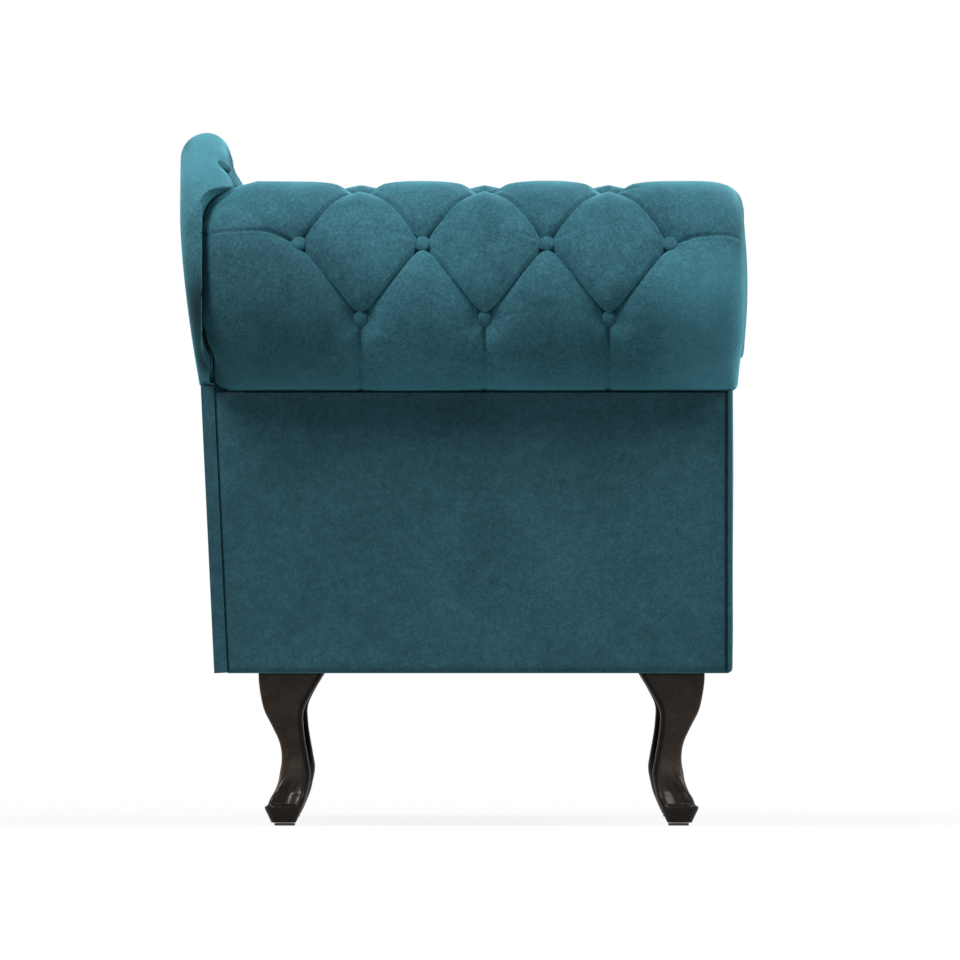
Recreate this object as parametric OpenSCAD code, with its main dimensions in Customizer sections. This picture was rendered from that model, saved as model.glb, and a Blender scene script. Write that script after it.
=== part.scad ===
// Fainting couch with one deep-buttoned rolled arm, a swept buttoned back and four cabriole legs.
// Millimetres. X runs from the head end to the foot end, Y from the front to the back, Z up.
// The origin is on the floor, under the middle of the couch.

/* [Overall] */
// Length over the arm roll and the foot end
couch_length = 1600; // [1560:10:1900]
// Depth over the arm roll and the back
couch_depth = 655; // [645:5:720]
// Height of the back's peak above the floor
couch_height = 800; // [790:2:850]

/* [Base] */
// Height of the upholstered base box above the legs
base_height = 154; // [140:2:170]
// Thickness of the padded panels at the head and foot ends
panel_t = 12; // [10:1:16]
// Thickness of the front panel and of the arm facing's foot
facing_t = 6.5; // [5:0.5:8]
// Radius of the lower front edge of the panels
panel_edge_r = 10; // [8:1:14]
// Thickness of the wooden rails
rail_t = 22; // [18:1:26]
// Height of the stretchers between the front and rear rails
stretcher_h = 70; // [50:5:90]
// Number of stretchers
stretcher_count = 2; // [1:1:3]
// Width and length of a corner block
block_size = 78; // [76:1:86]
// Height of a corner block
block_h = 40; // [30:2:50]
// Thickness of the dust cover under the base
dust_cover_t = 0.8; // [0.5:0.1:1.5]

/* [Seat] */
// Thickness of the seat cushion at its edges
cushion_t = 111; // [100:1:120]
// Rise of the cushion's top from its edge to its middle
cushion_crown = 9; // [4:1:14]
// Swell of the cushion's sides between their seams
cushion_swell = 5; // [2:1:8]
// Depth that the cushion's long sides are drawn in, half way along
cushion_draw = 4; // [1:0.5:6]
// Radius of the cushion's edges
cushion_edge_r = 16; // [12:1:22]
// Thickness of the back at the seat, with its board
back_foot_t = 90.5; // [86:0.5:100]
// Diameter of the sinuous spring wire
spring_wire_d = 3.8; // [3:0.2:4.4]
// Number of sinuous springs
spring_count = 8; // [6:1:10]
// Distance between the bars of a sinuous spring
spring_pitch = 26; // [22:1:30]
// Width of a sinuous spring
spring_width = 50; // [44:2:60]
// Thickness of the cloth over the springs
spring_cover_t = 2; // [1:0.5:3]

/* [Arm] */
// Radius of the arm roll
roll_r = 122; // [118:1:124]
// Height of the arm roll's crest above the floor
arm_height = 744; // [736:2:756]
// Overhang of the roll past the head panel
roll_overhang = 95; // [88:1:102]
// Thickness of the padding over the arm frame
arm_pad_t = 45; // [42:1:48]
// Projection of the arm's facing in front of the base
arm_bulge = 17; // [14:1:20]
// Distance from the rear of the roll to the rear of the back
roll_rear_inset = 27.5; // [26:0.5:32]
// Thickness of the two scroll-shaped arm boards
arm_board_t = 18; // [15:1:20]
// Thickness of the slats that carry the arm padding
slat_t = 8; // [6:0.5:9]
// Width of those slats
slat_w = 30; // [24:1:32]

/* [Tufting] */
// Distance between buttons along a row
button_pitch = 143; // [138:1:146]
// Distance between the rows of buttons on the back
row_pitch = 86; // [82:1:88]
// Distance between the rows of buttons on the arm
arm_row_pitch = 103.7; // [96:0.1:110]
// Diameter of a covered button
button_d = 20; // [16:1:22]
// Rise of a button's dome
button_dome = 4.5; // [3:0.5:6]
// Depth of the pits that the buttons sit in
pit_depth = 25; // [22:1:28]
// Depth of the pleats between the buttons
pleat_depth = 15; // [12:1:16]

/* [Back] */
// Lean of the back board from upright, in degrees
back_rake = 2.7; // [1.5:0.1:3]
// Thickness of the back board
back_board_t = 15; // [12:1:18]
// Distance that the top roll stands behind the foot of the back board
back_overhang = 39.5; // [38:0.5:44]
// Thickness of the back's top roll at its peak
top_roll_t = 60; // [54:1:66]
// Padding between the back board's top edge and the top line
board_cover = 50; // [46:1:54]
// Bulge of the back pad's inner face
back_bulge = 8; // [4:1:12]
// Distance from the head end to the peak of the back
peak_from_head = 240; // [230:2:260]
// Distance from the foot end to the nose where the back ends
nose_from_foot = 280; // [240:5:330]
// Height of the back above the floor, at its nose
nose_height = 500; // [490:2:520]
// Radius of the nose where the back ends
nose_r = 70; // [60:2:76]

/* [Legs] */
// Height of the legs, from the floor to the base
leg_height = 176; // [164:1:188]
// Width of a leg at its top
leg_w = 75; // [70:1:76]
// Distance from the base's front and ends to the legs
leg_inset = 33; // [30:1:38]
// Distance from the base's rear to the rear legs
rear_leg_inset = 51; // [44:1:58]
// Depth of the hollow above the toe
toe_hollow = 5; // [2:0.5:6]
// Diameter of a glide under a foot
glide_d = 24; // [20:1:26]
// Thickness of a glide
glide_t = 3; // [2:0.5:4]

/* [Fasteners] */
// Diameter of the bolts
bolt_d = 8; // [6:1:8]
// Diameter of a bolt head
bolt_head_d = 13; // [12:0.5:14]
// Thickness of a bolt head
bolt_head_t = 5; // [4:0.5:6]
// Depth that a leg bolt reaches into its leg
leg_bolt_depth = 40; // [30:1:44]
// Diameter of a tee nut's flange
tee_flange_d = 22; // [20:1:26]

/* [Hidden] */

// Gap between pieces that lie against each other
fit = 0.4;
// Overrun of every cut
over = 1;
// Play of a bolt in its hole
bolt_play = 0.15;
// Thickness of the tee nuts' flanges
tee_flange_t = 2;
// Diameter and length of the tee nuts' barrels
tee_barrel_d = 11;
tee_barrel_len = 12;
// Thickness, width and depth of the caps that hold the springs down
clip_cap_t = 1.2;
clip_w = 30;
clip_depth = 12;
// Thickness of the back pad's cover below its rear seam
flap_t = 1.2;
// Gap under a back button, which sits on a flatter bed than an arm button
back_button_gap = 0.6;
arm_button_gap = 0.9;
// Reach of the soft edges at the two ends of the roll
front_edge = 50;
rear_edge = 62;
// Depth of the bolts' ends in the rails and in the back board
rail_bolt_reach = 30;
board_bolt_reach = 9;
// Height of the back bolts above the frame's lower edge
back_bolt_h = stretcher_h + bolt_head_d;
// Distance of the outer back bolts from the rail's ends
back_bolt_inset = 90;
back_bolt_count = 4;
// Heights of the arm bolts above the frame's lower edge
arm_bolt_low = 40;
arm_bolt_high = 110;
// Radius of the small edges of rails and panels
small_edge_r = 3;
$fn = 48;

velvet = [0.12, 0.38, 0.43];
pine = [0.78, 0.64, 0.44];
dark_wood = [0.13, 0.1, 0.08];
steel = [0.62, 0.63, 0.65];
black_cloth = [0.15, 0.15, 0.16];
black_nylon = [0.08, 0.08, 0.08];

// Main places
head_x = -couch_length / 2;
foot_x = couch_length / 2;
front_y = -couch_depth / 2;
back_y = couch_depth / 2;
base_top = leg_height + base_height;
base_front_y = front_y + arm_bulge;
frame_front_y = base_front_y + facing_t + fit;
head_panel_x = head_x + roll_overhang;
roll_x = head_x + roll_r;
roll_z = arm_height - roll_r;
arm_inner_x = roll_x + roll_r;
board_foot_y = back_y - back_overhang;
lumbar_y = board_foot_y - back_foot_t;

// Places of the frame's pieces
frame_bottom = leg_height + dust_cover_t + fit;
spring_stack = spring_wire_d + clip_cap_t + spring_cover_t + 4 * fit;
rail_top = base_top - spring_stack;
rail_h = rail_top - frame_bottom;
frame_head_x = head_panel_x + panel_t + fit;
frame_foot_x = foot_x - panel_t - fit;
rear_rail_y = board_inner_y(leg_height) - fit - rail_t;
rear_board_y = rear_rail_y + rail_t - arm_board_t;
inner_head_x = frame_head_x + rail_t;
inner_front_y = frame_front_y + rail_t;
inner_foot_x = frame_foot_x - rail_t;
seat_base_z = base_top + fit;
seat_top = seat_base_z + cushion_t + cushion_crown;

// The back board's two faces, by height
function board_outer_y(z) = board_foot_y + (z - leg_height) * tan(back_rake);
function board_inner_y(z) = board_outer_y(z) - back_board_t / cos(back_rake);

// General functions
function mix(a, b, t) = a + (b - a) * t;
function clamp(t) = max(0, min(1, t));
function smooth(t) = let (c = clamp(t)) c * c * (3 - 2 * c);
function bezier(p, t) = pow(1 - t, 3) * p[0] + 3 * pow(1 - t, 2) * t * p[1]
    + 3 * (1 - t) * t * t * p[2] + pow(t, 3) * p[3];
function flat(lists) = [for (l = lists) each l];
function to_segment(p, a, b) = let (ab = b - a, t = clamp(((p - a) * ab) / (ab * ab)))
    norm(p - a - t * ab);
function nearest(p, list) = min([for (b = list) norm(b - p)]);
// Value of a table of rows at a place, on a smooth curve through the rows
function curve(table, x, col) = let (
    n = len(table),
    found = [for (i = [0:n - 2]) if (x >= table[i][0] && x <= table[i + 1][0]) i],
    i = len(found) > 0 ? found[0] : (x < table[0][0] ? 0 : n - 2),
    a = table[i], b = table[i + 1],
    before = table[max(i - 1, 0)], after = table[min(i + 2, n - 1)],
    w = b[0] - a[0], t = clamp((x - a[0]) / w),
    ma = (b[col] - before[col]) / (b[0] - before[0]) * w,
    mb = (after[col] - a[col]) / (after[0] - a[0]) * w)
    (2 * pow(t, 3) - 3 * t * t + 1) * a[col] + (pow(t, 3) - 2 * t * t + t) * ma
    + (3 * t * t - 2 * pow(t, 3)) * b[col] + (pow(t, 3) - t * t) * mb;

// Solid through a row of closed loops, anticlockwise as seen from the last one.
// Neighbouring cells are cut along opposite diagonals, so that pleats run along edges.
function loft_faces(rows, cols, odd) = concat(
    flat([for (r = [0:rows - 2], c = [0:cols - 1]) let (
        a = r * cols + c, b = r * cols + (c + 1) % cols, d = a + cols, e = b + cols)
        (r + c + odd) % 2 == 0 ? [[a, e, b], [a, d, e]] : [[a, d, b], [b, d, e]]]),
    [[for (c = [0:cols - 1]) c], [for (c = [cols - 1:-1:0]) (rows - 1) * cols + c]]);
module loft(loops, odd = 0) {
    polyhedron(flat(loops), loft_faces(len(loops), len(loops[0]), odd), convexity = 6);
}

// Extrusions along X of an outline in Y and Z, and along Y of an outline in X and Z
module along_x(x0, x1) {
    translate([x0, 0, 0]) rotate([90, 0, 90]) linear_extrude(x1 - x0) children();
}
module along_y(y0, y1) {
    translate([0, y1, 0]) rotate([90, 0, 0]) linear_extrude(y1 - y0) children();
}
module box(low, high) {
    translate(low) cube(high - low);
}
module rod_y(at, y0, y1, d) {
    translate([at[0], y0, at[1]]) rotate([-90, 0, 0]) cylinder(h = y1 - y0, d = d);
}
module rod_z(at, z0, z1, d) {
    translate([at[0], at[1], z0]) cylinder(h = z1 - z0, d = d);
}

// Depth of the quilting at a point, from the pleats and buttons near it
half_pitch = button_pitch / 2;
puff_reach = half_pitch * row_pitch / norm([half_pitch, row_pitch]);
pit_reach = 1.6 * button_d;
function quilt(p, seams, buttons) = let (
    ds = min([for (s = seams) to_segment(p, s[0], s[1])]), db = nearest(p, buttons))
    pleat_depth * pow(max(0, 1 - ds / puff_reach), 1.8)
    + (pit_depth - pleat_depth) * pow(max(0, 1 - db / pit_reach), 1.5);

// A covered button, with the tapered back that seats in its pit
button_back = 0.36 * button_d;
module button() {
    rotate_extrude() polygon(concat([[0, -button_back]],
        [for (i = [0:3]) let (t = 30 * i) [button_d / 2 * cos(t), button_dome * sin(t)]]));
}

// The arm's profile, from under the roll, over its crest and down to the seat.
// A place along it is an arc length, and an inset is measured inwards from the outer face.
roll_turn = 270;
roll_arc = roll_r * roll_turn * PI / 180;
arm_len = roll_arc + roll_z - base_top - 2 * fit;
function arm_angle(a) = min(a, roll_arc) / roll_arc * roll_turn - 90;
function arm_normal(a) = let (t = arm_angle(a)) [-cos(t), sin(t)];
function arm_point(a, inset) = [roll_x, roll_z] + (roll_r - inset) * arm_normal(a)
    - [0, max(0, a - roll_arc)];

// Buttons on the arm, in rows of three and four, as places across and along the profile
arm_rows = 6;
arm_row_start = roll_r * 69 * PI / 180;
arm_centre_y = base_front_y + 2 * button_pitch + half_pitch * 0.007;
arm_buttons_at = [for (r = [0:arm_rows - 1], c = [-3:3])
    if ((r + c) % 2 == 0 && (r % 2 == 1 || abs(c) < 3)) arm_place(c, r)];
function arm_place(c, r) = [arm_centre_y + c * half_pitch, arm_row_start + r * arm_row_pitch];
arm_last_row = arm_place(0, arm_rows - 1)[1];
// Pleats: the diamonds, then the ends of the long rows, then down from the first and last rows
arm_seams = concat(
    [for (b = arm_buttons_at, d = [-1, 1]) let (n = b + [d * half_pitch, arm_row_pitch])
        if (nearest(n, arm_buttons_at) < over) [b, n]],
    [for (b = arm_buttons_at, d = [-1, 1]) let (n = b + [d * button_pitch, 0])
        if (abs(b[0] - arm_centre_y) > 2.5 * half_pitch && d * (b[0] - arm_centre_y) > 0) [b, n]],
    [for (b = arm_buttons_at) if (b[1] < arm_row_start + over) [b, b - [0, 3 * arm_row_pitch]]],
    [for (b = arm_buttons_at) if (b[1] > arm_last_row - over) [b, b + [0, 3 * arm_row_pitch]]]);

// The roll's two ends: how far they stand out, by the angle round the roll
function front_out(a) = let (t = arm_angle(a))
    mix(0.45, 1, smooth((t + 90) / 60)) * (1 - smooth((t - 90) / 80));
function arm_front_y(a) = mix(base_front_y + fit, front_y + facing_rim, front_out(a));
function arm_rear_y(a) = mix(arm_rear_foot_y, back_y - roll_rear_inset,
    1 - smooth((abs(arm_angle(a)) - 38) / 30));
arm_rear_foot_y = board_inner_y(base_top) - 2 * fit;
// Curve of the facing's dome, and the padding that laps behind its rim
facing_rim = 0.29 * arm_bulge;
facing_lap_share = 0.84;
facing_r = roll_r - facing_lap_share * arm_pad_t - fit;
// Edges: share of the edge's reach, and share of the padding that it has turned in there
front_edge_shares = [[0, 0.73], [0.05, 0.49], [0.15, 0.29], [0.36, 0.12], [0.66, 0.03], [1, 0]];
rear_edge_shares = [[1, 0], [0.62, 0.18], [0.4, 0.3], [0.23, 0.42], [0.13, 0.55], [0.055, 0.73],
    [0, facing_lap_share]];
arm_cols = 19;
arm_row_count = 25;
function arm_columns(a) = concat([[frame_front_y, facing_lap_share]],
    [for (e = front_edge_shares) [arm_front_y(a) + e[0] * front_edge, e[1]]],
    [for (c = [0:arm_cols - 1]) [arm_centre_y + (c - 9) * half_pitch / 3, 0]],
    [for (e = rear_edge_shares) [arm_rear_y(a) - e[0] * rear_edge, e[1]]]);
arm_rows_at = concat([0], [for (k = [0:arm_row_count - 1])
    arm_row_start + (k - 4) * arm_row_pitch / 3], [arm_len]);
function arm_surface(a, column) = let (
    ends = a > 0 && a < arm_len ? 1 : 0,
    depth = ends * quilt([column[0], a], arm_seams, arm_buttons_at),
    p = arm_point(a, column[1] * arm_pad_t + (1 - column[1]) * depth)) [p[0], column[0], p[1]];

module arm_pad() {
    rows = len(arm_rows_at);
    cols = len(arm_columns(0));
    outer = [for (a = arm_rows_at, column = arm_columns(a)) arm_surface(a, column)];
    inner = [for (a = arm_rows_at, j = [0, cols - 1]) let (
        p = arm_point(a, arm_pad_t)) [p[0], arm_columns(a)[j][0], p[1]]];
    first = rows * cols;
    last = cols - 1;
    top = rows - 1;
    skin = flat([for (r = [0:rows - 2], c = [0:cols - 2]) let (
        a = r * cols + c, b = a + 1, d = a + cols, e = d + 1)
        (r + c) % 2 == 0 ? [[a, e, d], [a, b, e]] : [[a, b, d], [b, e, d]]]);
    lining = flat([for (r = [0:rows - 2]) let (a = first + 2 * r)
        [[a, a + 3, a + 1], [a, a + 2, a + 3]]]);
    ends = flat([for (r = [0:rows - 2]) let (
        a = first + 2 * r, o = r * cols, e = o + cols) [[a, e, a + 2], [a, o, e],
        [a + 1, a + 3, e + last], [a + 1, e + last, o + last]]]);
    caps = [concat([first + 1], [for (c = [last:-1:0]) c], [first]),
        concat([first + 2 * top], [for (c = [0:last]) top * cols + c], [first + 2 * top + 1])];
    color(velvet) polyhedron(concat(outer, inner), concat(skin, lining, ends, caps), convexity = 8);
}

module arm_buttons() {
    color(velvet) for (b = arm_buttons_at) let (
        t = arm_angle(b[1]), p = arm_point(b[1], pit_depth - button_back - arm_button_gap))
        translate([p[0], b[0], p[1]]) rotate([0, t - 90, 0]) button();
}

// The wooden frame of the arm, under its padding
pad_inner_r = (roll_r - arm_pad_t) * cos(arm_row_pitch / 6 / roll_r * 180 / PI);
slat_out_r = sqrt(pow(pad_inner_r - fit, 2) - pow(slat_w / 2, 2));
arm_board_r = slat_out_r - slat_t - fit;
arm_board_x = roll_x + arm_board_r;
head_panel_top = roll_z - roll_r - fit;
module arm_board_outline() {
    translate([roll_x, roll_z]) circle(r = arm_board_r);
    translate([roll_x + fit, frame_bottom])
        square([arm_board_x - roll_x - fit, roll_z - frame_bottom]);
    translate([frame_head_x, frame_bottom])
        square([roll_x + over - frame_head_x, head_panel_top - frame_bottom]);
}
module arm_bolt_holes(y0, y1, head_y0, head_y1) {
    for (h = [arm_bolt_low, arm_bolt_high]) let (at = [frame_head_x + rail_t / 2, frame_bottom + h]) {
        rod_y(at, y0, y1, bolt_d + 2 * bolt_play);
        rod_y(at, head_y0, head_y1, bolt_head_d + 2 * fit);
    }
}
module arm_front_board() {
    color(pine) difference() {
        along_y(frame_front_y, frame_front_y + arm_board_t) arm_board_outline();
        arm_bolt_holes(frame_front_y - over, frame_front_y + arm_board_t + over,
            frame_front_y - over, frame_front_y + bolt_head_t + fit);
    }
}
module arm_rear_board() {
    rear = rear_board_y + arm_board_t;
    color(pine) difference() {
        along_y(rear_board_y, rear) arm_board_outline();
        arm_bolt_holes(rear_board_y - over, rear + over, rear - bolt_head_t - fit, rear + over);
    }
}
slat_angles = [-75, -35, 5, 45, 85, 125, 165];
straight_slats = 3;
module arm_slats() {
    rear = rear_board_y + arm_board_t;
    color(pine) {
        for (t = slat_angles) translate([roll_x, 0, roll_z]) rotate([0, t, 0])
            box([-slat_out_r, frame_front_y, -slat_w / 2], [slat_t - slat_out_r, rear, slat_w / 2]);
        for (i = [1:straight_slats]) let (
            z = mix(roll_z, base_top, i / (straight_slats + 0.5)))
            box([arm_board_x + fit, frame_front_y, z], [arm_board_x + fit + slat_t, rear, z + slat_w]);
    }
}

// The arm's front facing: a domed scroll with a foot down to the base
module base_front_outline(y) {
    r = panel_edge_r;
    corner = [base_front_y + r, leg_height + r];
    polygon(concat([for (i = [0:6]) let (t = 180 + 15 * i) corner + r * [cos(t), sin(t)]],
        [[y + r + r, leg_height], [y + r + r, roll_z], [base_front_y, roll_z]]));
}
module arm_facing() {
    back = frame_front_y - fit;
    dome = back - front_y;
    rim = dome - facing_rim;
    color(velvet) {
        translate([roll_x, back, roll_z]) rotate([90, 0, 0]) rotate_extrude() polygon(concat([[0, 0],
            [facing_r, 0]], [for (i = [0:6]) let (t = 15 * i, e = small_edge_r)
            [facing_r - e + e * cos(t), rim - e + e * sin(t)]],
            [for (i = [1:5]) let (s = 1 - i / 5) [(facing_r - small_edge_r) * s,
            mix(dome, rim, s * s)]]));
        difference() {
            intersection() {
                along_y(base_front_y, back) translate([head_panel_x, leg_height])
                    square([roll_x + facing_r - head_panel_x, roll_z - leg_height]);
                along_x(head_panel_x - over, roll_x + facing_r + over)
                    base_front_outline(base_front_y);
            }
            intersection() {
                rod_y([roll_x, roll_z], base_front_y - over, back + over, 2 * (roll_r + fit));
                box([head_panel_x - over, base_front_y - over, roll_z - roll_r - over],
                    [roll_x + fit, back + over, roll_z]);
            }
        }
    }
}

// Panels round the base
module front_panel() {
    x0 = roll_x + facing_r + fit;
    x1 = foot_x - panel_t - fit;
    color(velvet) intersection() {
        box([x0, base_front_y, leg_height], [x1, frame_front_y - fit, base_top]);
        along_x(x0, x1) base_front_outline(base_front_y);
    }
}
// Outline of an end panel, whose rear edge follows the back board
module end_outline(y0, top) {
    r = panel_edge_r;
    corner = [y0 + r, leg_height + r];
    polygon(concat([for (i = [0:6]) let (t = 180 + 15 * i) corner + r * [cos(t), sin(t)]],
        [[board_inner_y(leg_height) - fit, leg_height], [board_inner_y(top) - fit, top], [y0, top]]));
}
module foot_panel() {
    color(velvet) along_x(foot_x - panel_t, foot_x) end_outline(base_front_y, base_top);
}
module head_panel() {
    color(velvet) along_x(head_panel_x, head_panel_x + panel_t)
        end_outline(frame_front_y, head_panel_top);
}

// The rails, stretchers and corner blocks under the seat
module front_rail() {
    color(pine) box([arm_board_x + fit, frame_front_y, frame_bottom],
        [frame_foot_x, inner_front_y, rail_top]);
}
module rear_rail() {
    color(pine) difference() {
        box([arm_board_x + fit, rear_rail_y, frame_bottom],
            [frame_foot_x, rear_rail_y + rail_t, rail_top]);
        for (x = back_bolts_x) rod_y([x, frame_bottom + back_bolt_h], rear_rail_y - over,
            rear_rail_y + rail_t + over, bolt_d + 2 * bolt_play);
    }
}
module head_rail() {
    y0 = frame_front_y + arm_board_t + fit;
    y1 = rear_board_y - fit;
    color(pine) difference() {
        box([frame_head_x, y0, frame_bottom], [inner_head_x, y1, rail_top]);
        for (h = [arm_bolt_low, arm_bolt_high], y = [y0 - over, y1 - rail_bolt_reach])
            rod_y([frame_head_x + rail_t / 2, frame_bottom + h], y, y + rail_bolt_reach + over,
                bolt_d + 2 * bolt_play);
    }
}
module foot_rail() {
    color(pine) box([inner_foot_x, inner_front_y + fit, frame_bottom],
        [frame_foot_x, rear_rail_y - fit, rail_top]);
}
module stretchers() {
    color(pine) for (i = [1:stretcher_count]) let (
        x = mix(inner_head_x, inner_foot_x, i / (stretcher_count + 1)))
        box([x - rail_t / 2, inner_front_y + fit, frame_bottom],
            [x + rail_t / 2, rear_rail_y - fit, frame_bottom + stretcher_h]);
}

// Legs: each stands on the floor with its toe turned out to its own corner
leg_corners = [[head_panel_x + leg_inset, base_front_y + leg_inset, 1, 1],
    [head_panel_x + leg_inset, board_foot_y - rear_leg_inset, 1, -1],
    [foot_x - leg_inset, base_front_y + leg_inset, -1, 1],
    [foot_x - leg_inset, board_foot_y - rear_leg_inset, -1, -1]];
leg_axes = [for (c = leg_corners) [c[0] + c[2] * leg_w / 2, c[1] + c[3] * leg_w / 2]];
block_high_y = rear_rail_y - fit - block_size;
module corner_blocks() {
    top = frame_bottom + block_h;
    color(pine) difference() {
        for (x = [inner_head_x + fit, inner_foot_x - fit - block_size],
            y = [inner_front_y + fit, block_high_y])
            box([x, y, frame_bottom], [x + block_size, y + block_size, top]);
        for (at = leg_axes) {
            rod_z(at, frame_bottom - over, top + over, bolt_d + 2 * bolt_play);
            rod_z(at, top - tee_barrel_len - fit, top + over, tee_barrel_d + 2 * bolt_play);
        }
    }
}

// Leg profile, from the floor up: share of the height, then how far the outer and the inner
// faces stand in from the leg's outer corner, and the rounding of its corners, as shares of
// the leg's width
leg_shares = [[0.017, 0.2, 0.6, 0.3], [0.07, 0.14, 0.66, 0.32], [0.12, 0.092, 0.72, 0.34],
    [0.173, 0.122, 0.767, 0.34], [0.226, 0.2, 0.8, 0.34], [0.33, 0.307, 0.844, 0.36],
    [0.43, 0.353, 0.813, 0.38], [0.54, 0.323, 0.767, 0.36], [0.645, 0.215, 0.736, 0.3],
    [0.75, 0.092, 0.736, 0.24], [0.855, 0.031, 0.844, 0.17], [0.958, 0, 0.967, 0.12],
    [1, 0, 1, 0.1]];
leg_levels = 22;
leg_sides = 5;
function leg_loop(s) = let (
    low = curve(leg_shares, s, 1) * leg_w, high = curve(leg_shares, s, 2) * leg_w,
    w = high - low, r = curve(leg_shares, s, 3) * w, z = s * leg_height,
    dip = toe_hollow * max(0, 1 - pow((s - 0.24) / 0.13, 2)))
    flat([for (k = [0:3]) let (
        side = [[0, -1], [1, 0], [0, 1], [-1, 0]][k], turn = 90 * k - 90,
        mid = (low + high) / 2, inward = k == 0 || k == 3 ? dip : 0)
        concat([[mid, mid, z] + concat(side * (w / 2 - inward), [0])],
            [for (i = [0:leg_sides - 1]) let (t = turn + 90 * i / (leg_sides - 1))
            [mid, mid, z] + (w / 2 - r) * concat(side + [-side[1], side[0]], [0])
            + r * [cos(t), sin(t), 0]])]);
// Loop of the bolt hole, with a point for each point of the leg's own loops
function hole_loop(z) = let (r = bolt_d / 2 + bolt_play, m = leg_w / 2, n = 4 * (leg_sides + 1))
    [for (i = [0:n - 1]) let (t = 360 * i / n - 90) [m + r * cos(t), m + r * sin(t), z]];
module leg(corner) {
    glide_share = (glide_t + fit) / leg_height;
    color(dark_wood) translate([corner[0], corner[1], 0])
        mirror([corner[2] < 0 ? 1 : 0, 0, 0]) mirror([0, corner[3] < 0 ? 1 : 0, 0])
        loft(concat([for (i = [0:leg_levels]) leg_loop(mix(glide_share, 1, i / leg_levels))],
            [hole_loop(leg_height), hole_loop(leg_height - leg_bolt_depth - fit)]));
}
module leg_head_front() { leg(leg_corners[0]); }
module leg_head_rear() { leg(leg_corners[1]); }
module leg_foot_front() { leg(leg_corners[2]); }
module leg_foot_rear() { leg(leg_corners[3]); }

// Sinuous springs, from the front rail to the rear rail
spring_y0 = frame_front_y + rail_t / 2;
spring_y1 = rear_rail_y + rail_t / 2;
spring_bars = 2 * floor((spring_y1 - spring_y0) / spring_pitch / 2) + 1;
spring_step = (spring_y1 - spring_y0) / (spring_bars - 1);
seat_head_x = arm_board_x + slat_t + 2 * fit;
spring_places = [for (i = [0:spring_count - 1])
    mix(seat_head_x, inner_foot_x, (i + 0.5) / spring_count)];
module spring_outline() {
    w = spring_width / 2;
    d = spring_wire_d / 2;
    bend = spring_step * 0.3;
    side = [for (i = [0:spring_bars - 1]) let (
        s = i % 2 == 0 ? 1 : -1, y = i * spring_step, last = i == spring_bars - 1)
        each concat([[-s * (w - bend), y]], last ? [] : [[s * (w - bend), y],
        [s * w, y + bend], [s * w, y + spring_step - bend]])];
    n = len(side);
    normals = [for (i = [0:n - 1]) let (t = side[min(i + 1, n - 1)] - side[max(i - 1, 0)])
        [t[1], -t[0]] / norm(t)];
    polygon(concat([for (i = [0:n - 1]) side[i] + d * normals[i]],
        [for (i = [n - 1:-1:0]) side[i] - d * normals[i]]));
}
module seat_springs() {
    color(steel) for (x = spring_places) translate([x, spring_y0, rail_top + fit])
        linear_extrude(spring_wire_d) spring_outline();
}
module spring_clips() {
    top = rail_top + spring_wire_d + 2 * fit + clip_cap_t;
    gap = spring_wire_d / 2 + fit;
    color(steel) for (x = spring_places, y = [spring_y0, spring_y1]) difference() {
        box([x - clip_w / 2, y - clip_depth / 2, rail_top], [x + clip_w / 2, y + clip_depth / 2, top]);
        box([x - clip_w, y - gap, rail_top - over], [x + clip_w, y + gap, top - clip_cap_t]);
    }
}
module spring_cover() {
    z = rail_top + spring_wire_d + clip_cap_t + 3 * fit;
    color(black_cloth) box([seat_head_x, frame_front_y, z],
        [frame_foot_x, rear_rail_y + rail_t, z + spring_cover_t]);
}
module dust_cover() {
    color(black_cloth) difference() {
        box([frame_head_x, frame_front_y, leg_height],
            [frame_foot_x, rear_rail_y + rail_t, leg_height + dust_cover_t]);
        for (at = leg_axes) rod_z(at, leg_height - over, leg_height + dust_cover_t + over,
            bolt_d + 2 * bolt_play);
    }
}

// Seat cushion: sections across it, from the arm to the foot end
cushion_x0 = arm_inner_x + fit;
cushion_x1 = foot_x - cushion_swell;
cushion_end_shares = [[0, 0.55], [0.12, 0.9], [0.45, 1], [1, 1]];
cushion_stations = 12;
cushion_side = 5;
cushion_top = 9;
notch_r = cushion_edge_r + cushion_swell;
function cushion_rear(x) = mix(lumbar_y - cushion_swell - fit,
    board_outer_y(base_top) - cushion_swell, smooth((x - nose_x - fit) / notch_r));
// One section: its plan inset, its share of the height, and its crown, all at one place
function cushion_loop(x, inset, tall, crown) = let (
    along = clamp((x - cushion_x0) / (cushion_x1 - cushion_x0)),
    draw = cushion_draw * sin(180 * along),
    y0 = base_front_y + cushion_swell + draw + inset, y1 = cushion_rear(x) - inset,
    mid = seat_base_z + cushion_t / 2, h = cushion_t / 2 * tall, r = cushion_edge_r * tall)
    concat(
        [for (i = [0:2]) let (t = 270 + 45 * i) [x, y1 - r + r * cos(t), mid - h + r + r * sin(t)]],
        [[x, y1 + cushion_swell * tall, mid]],
        [for (i = [0:2]) let (t = 45 * i) [x, y1 - r + r * cos(t), mid + h - r + r * sin(t)]],
        [for (i = [1:cushion_top]) let (s = i / (cushion_top + 1))
            [x, mix(y1 - r, y0 + r, s), mid + h + crown * sin(180 * s)]],
        [for (i = [0:2]) let (t = 90 + 45 * i) [x, y0 + r + r * cos(t), mid + h - r + r * sin(t)]],
        [[x, y0 - cushion_swell * tall, mid]],
        [for (i = [0:2]) let (t = 180 + 45 * i)
            [x, y0 + r + r * cos(t), mid - h + r + r * sin(t)]]);
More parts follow.
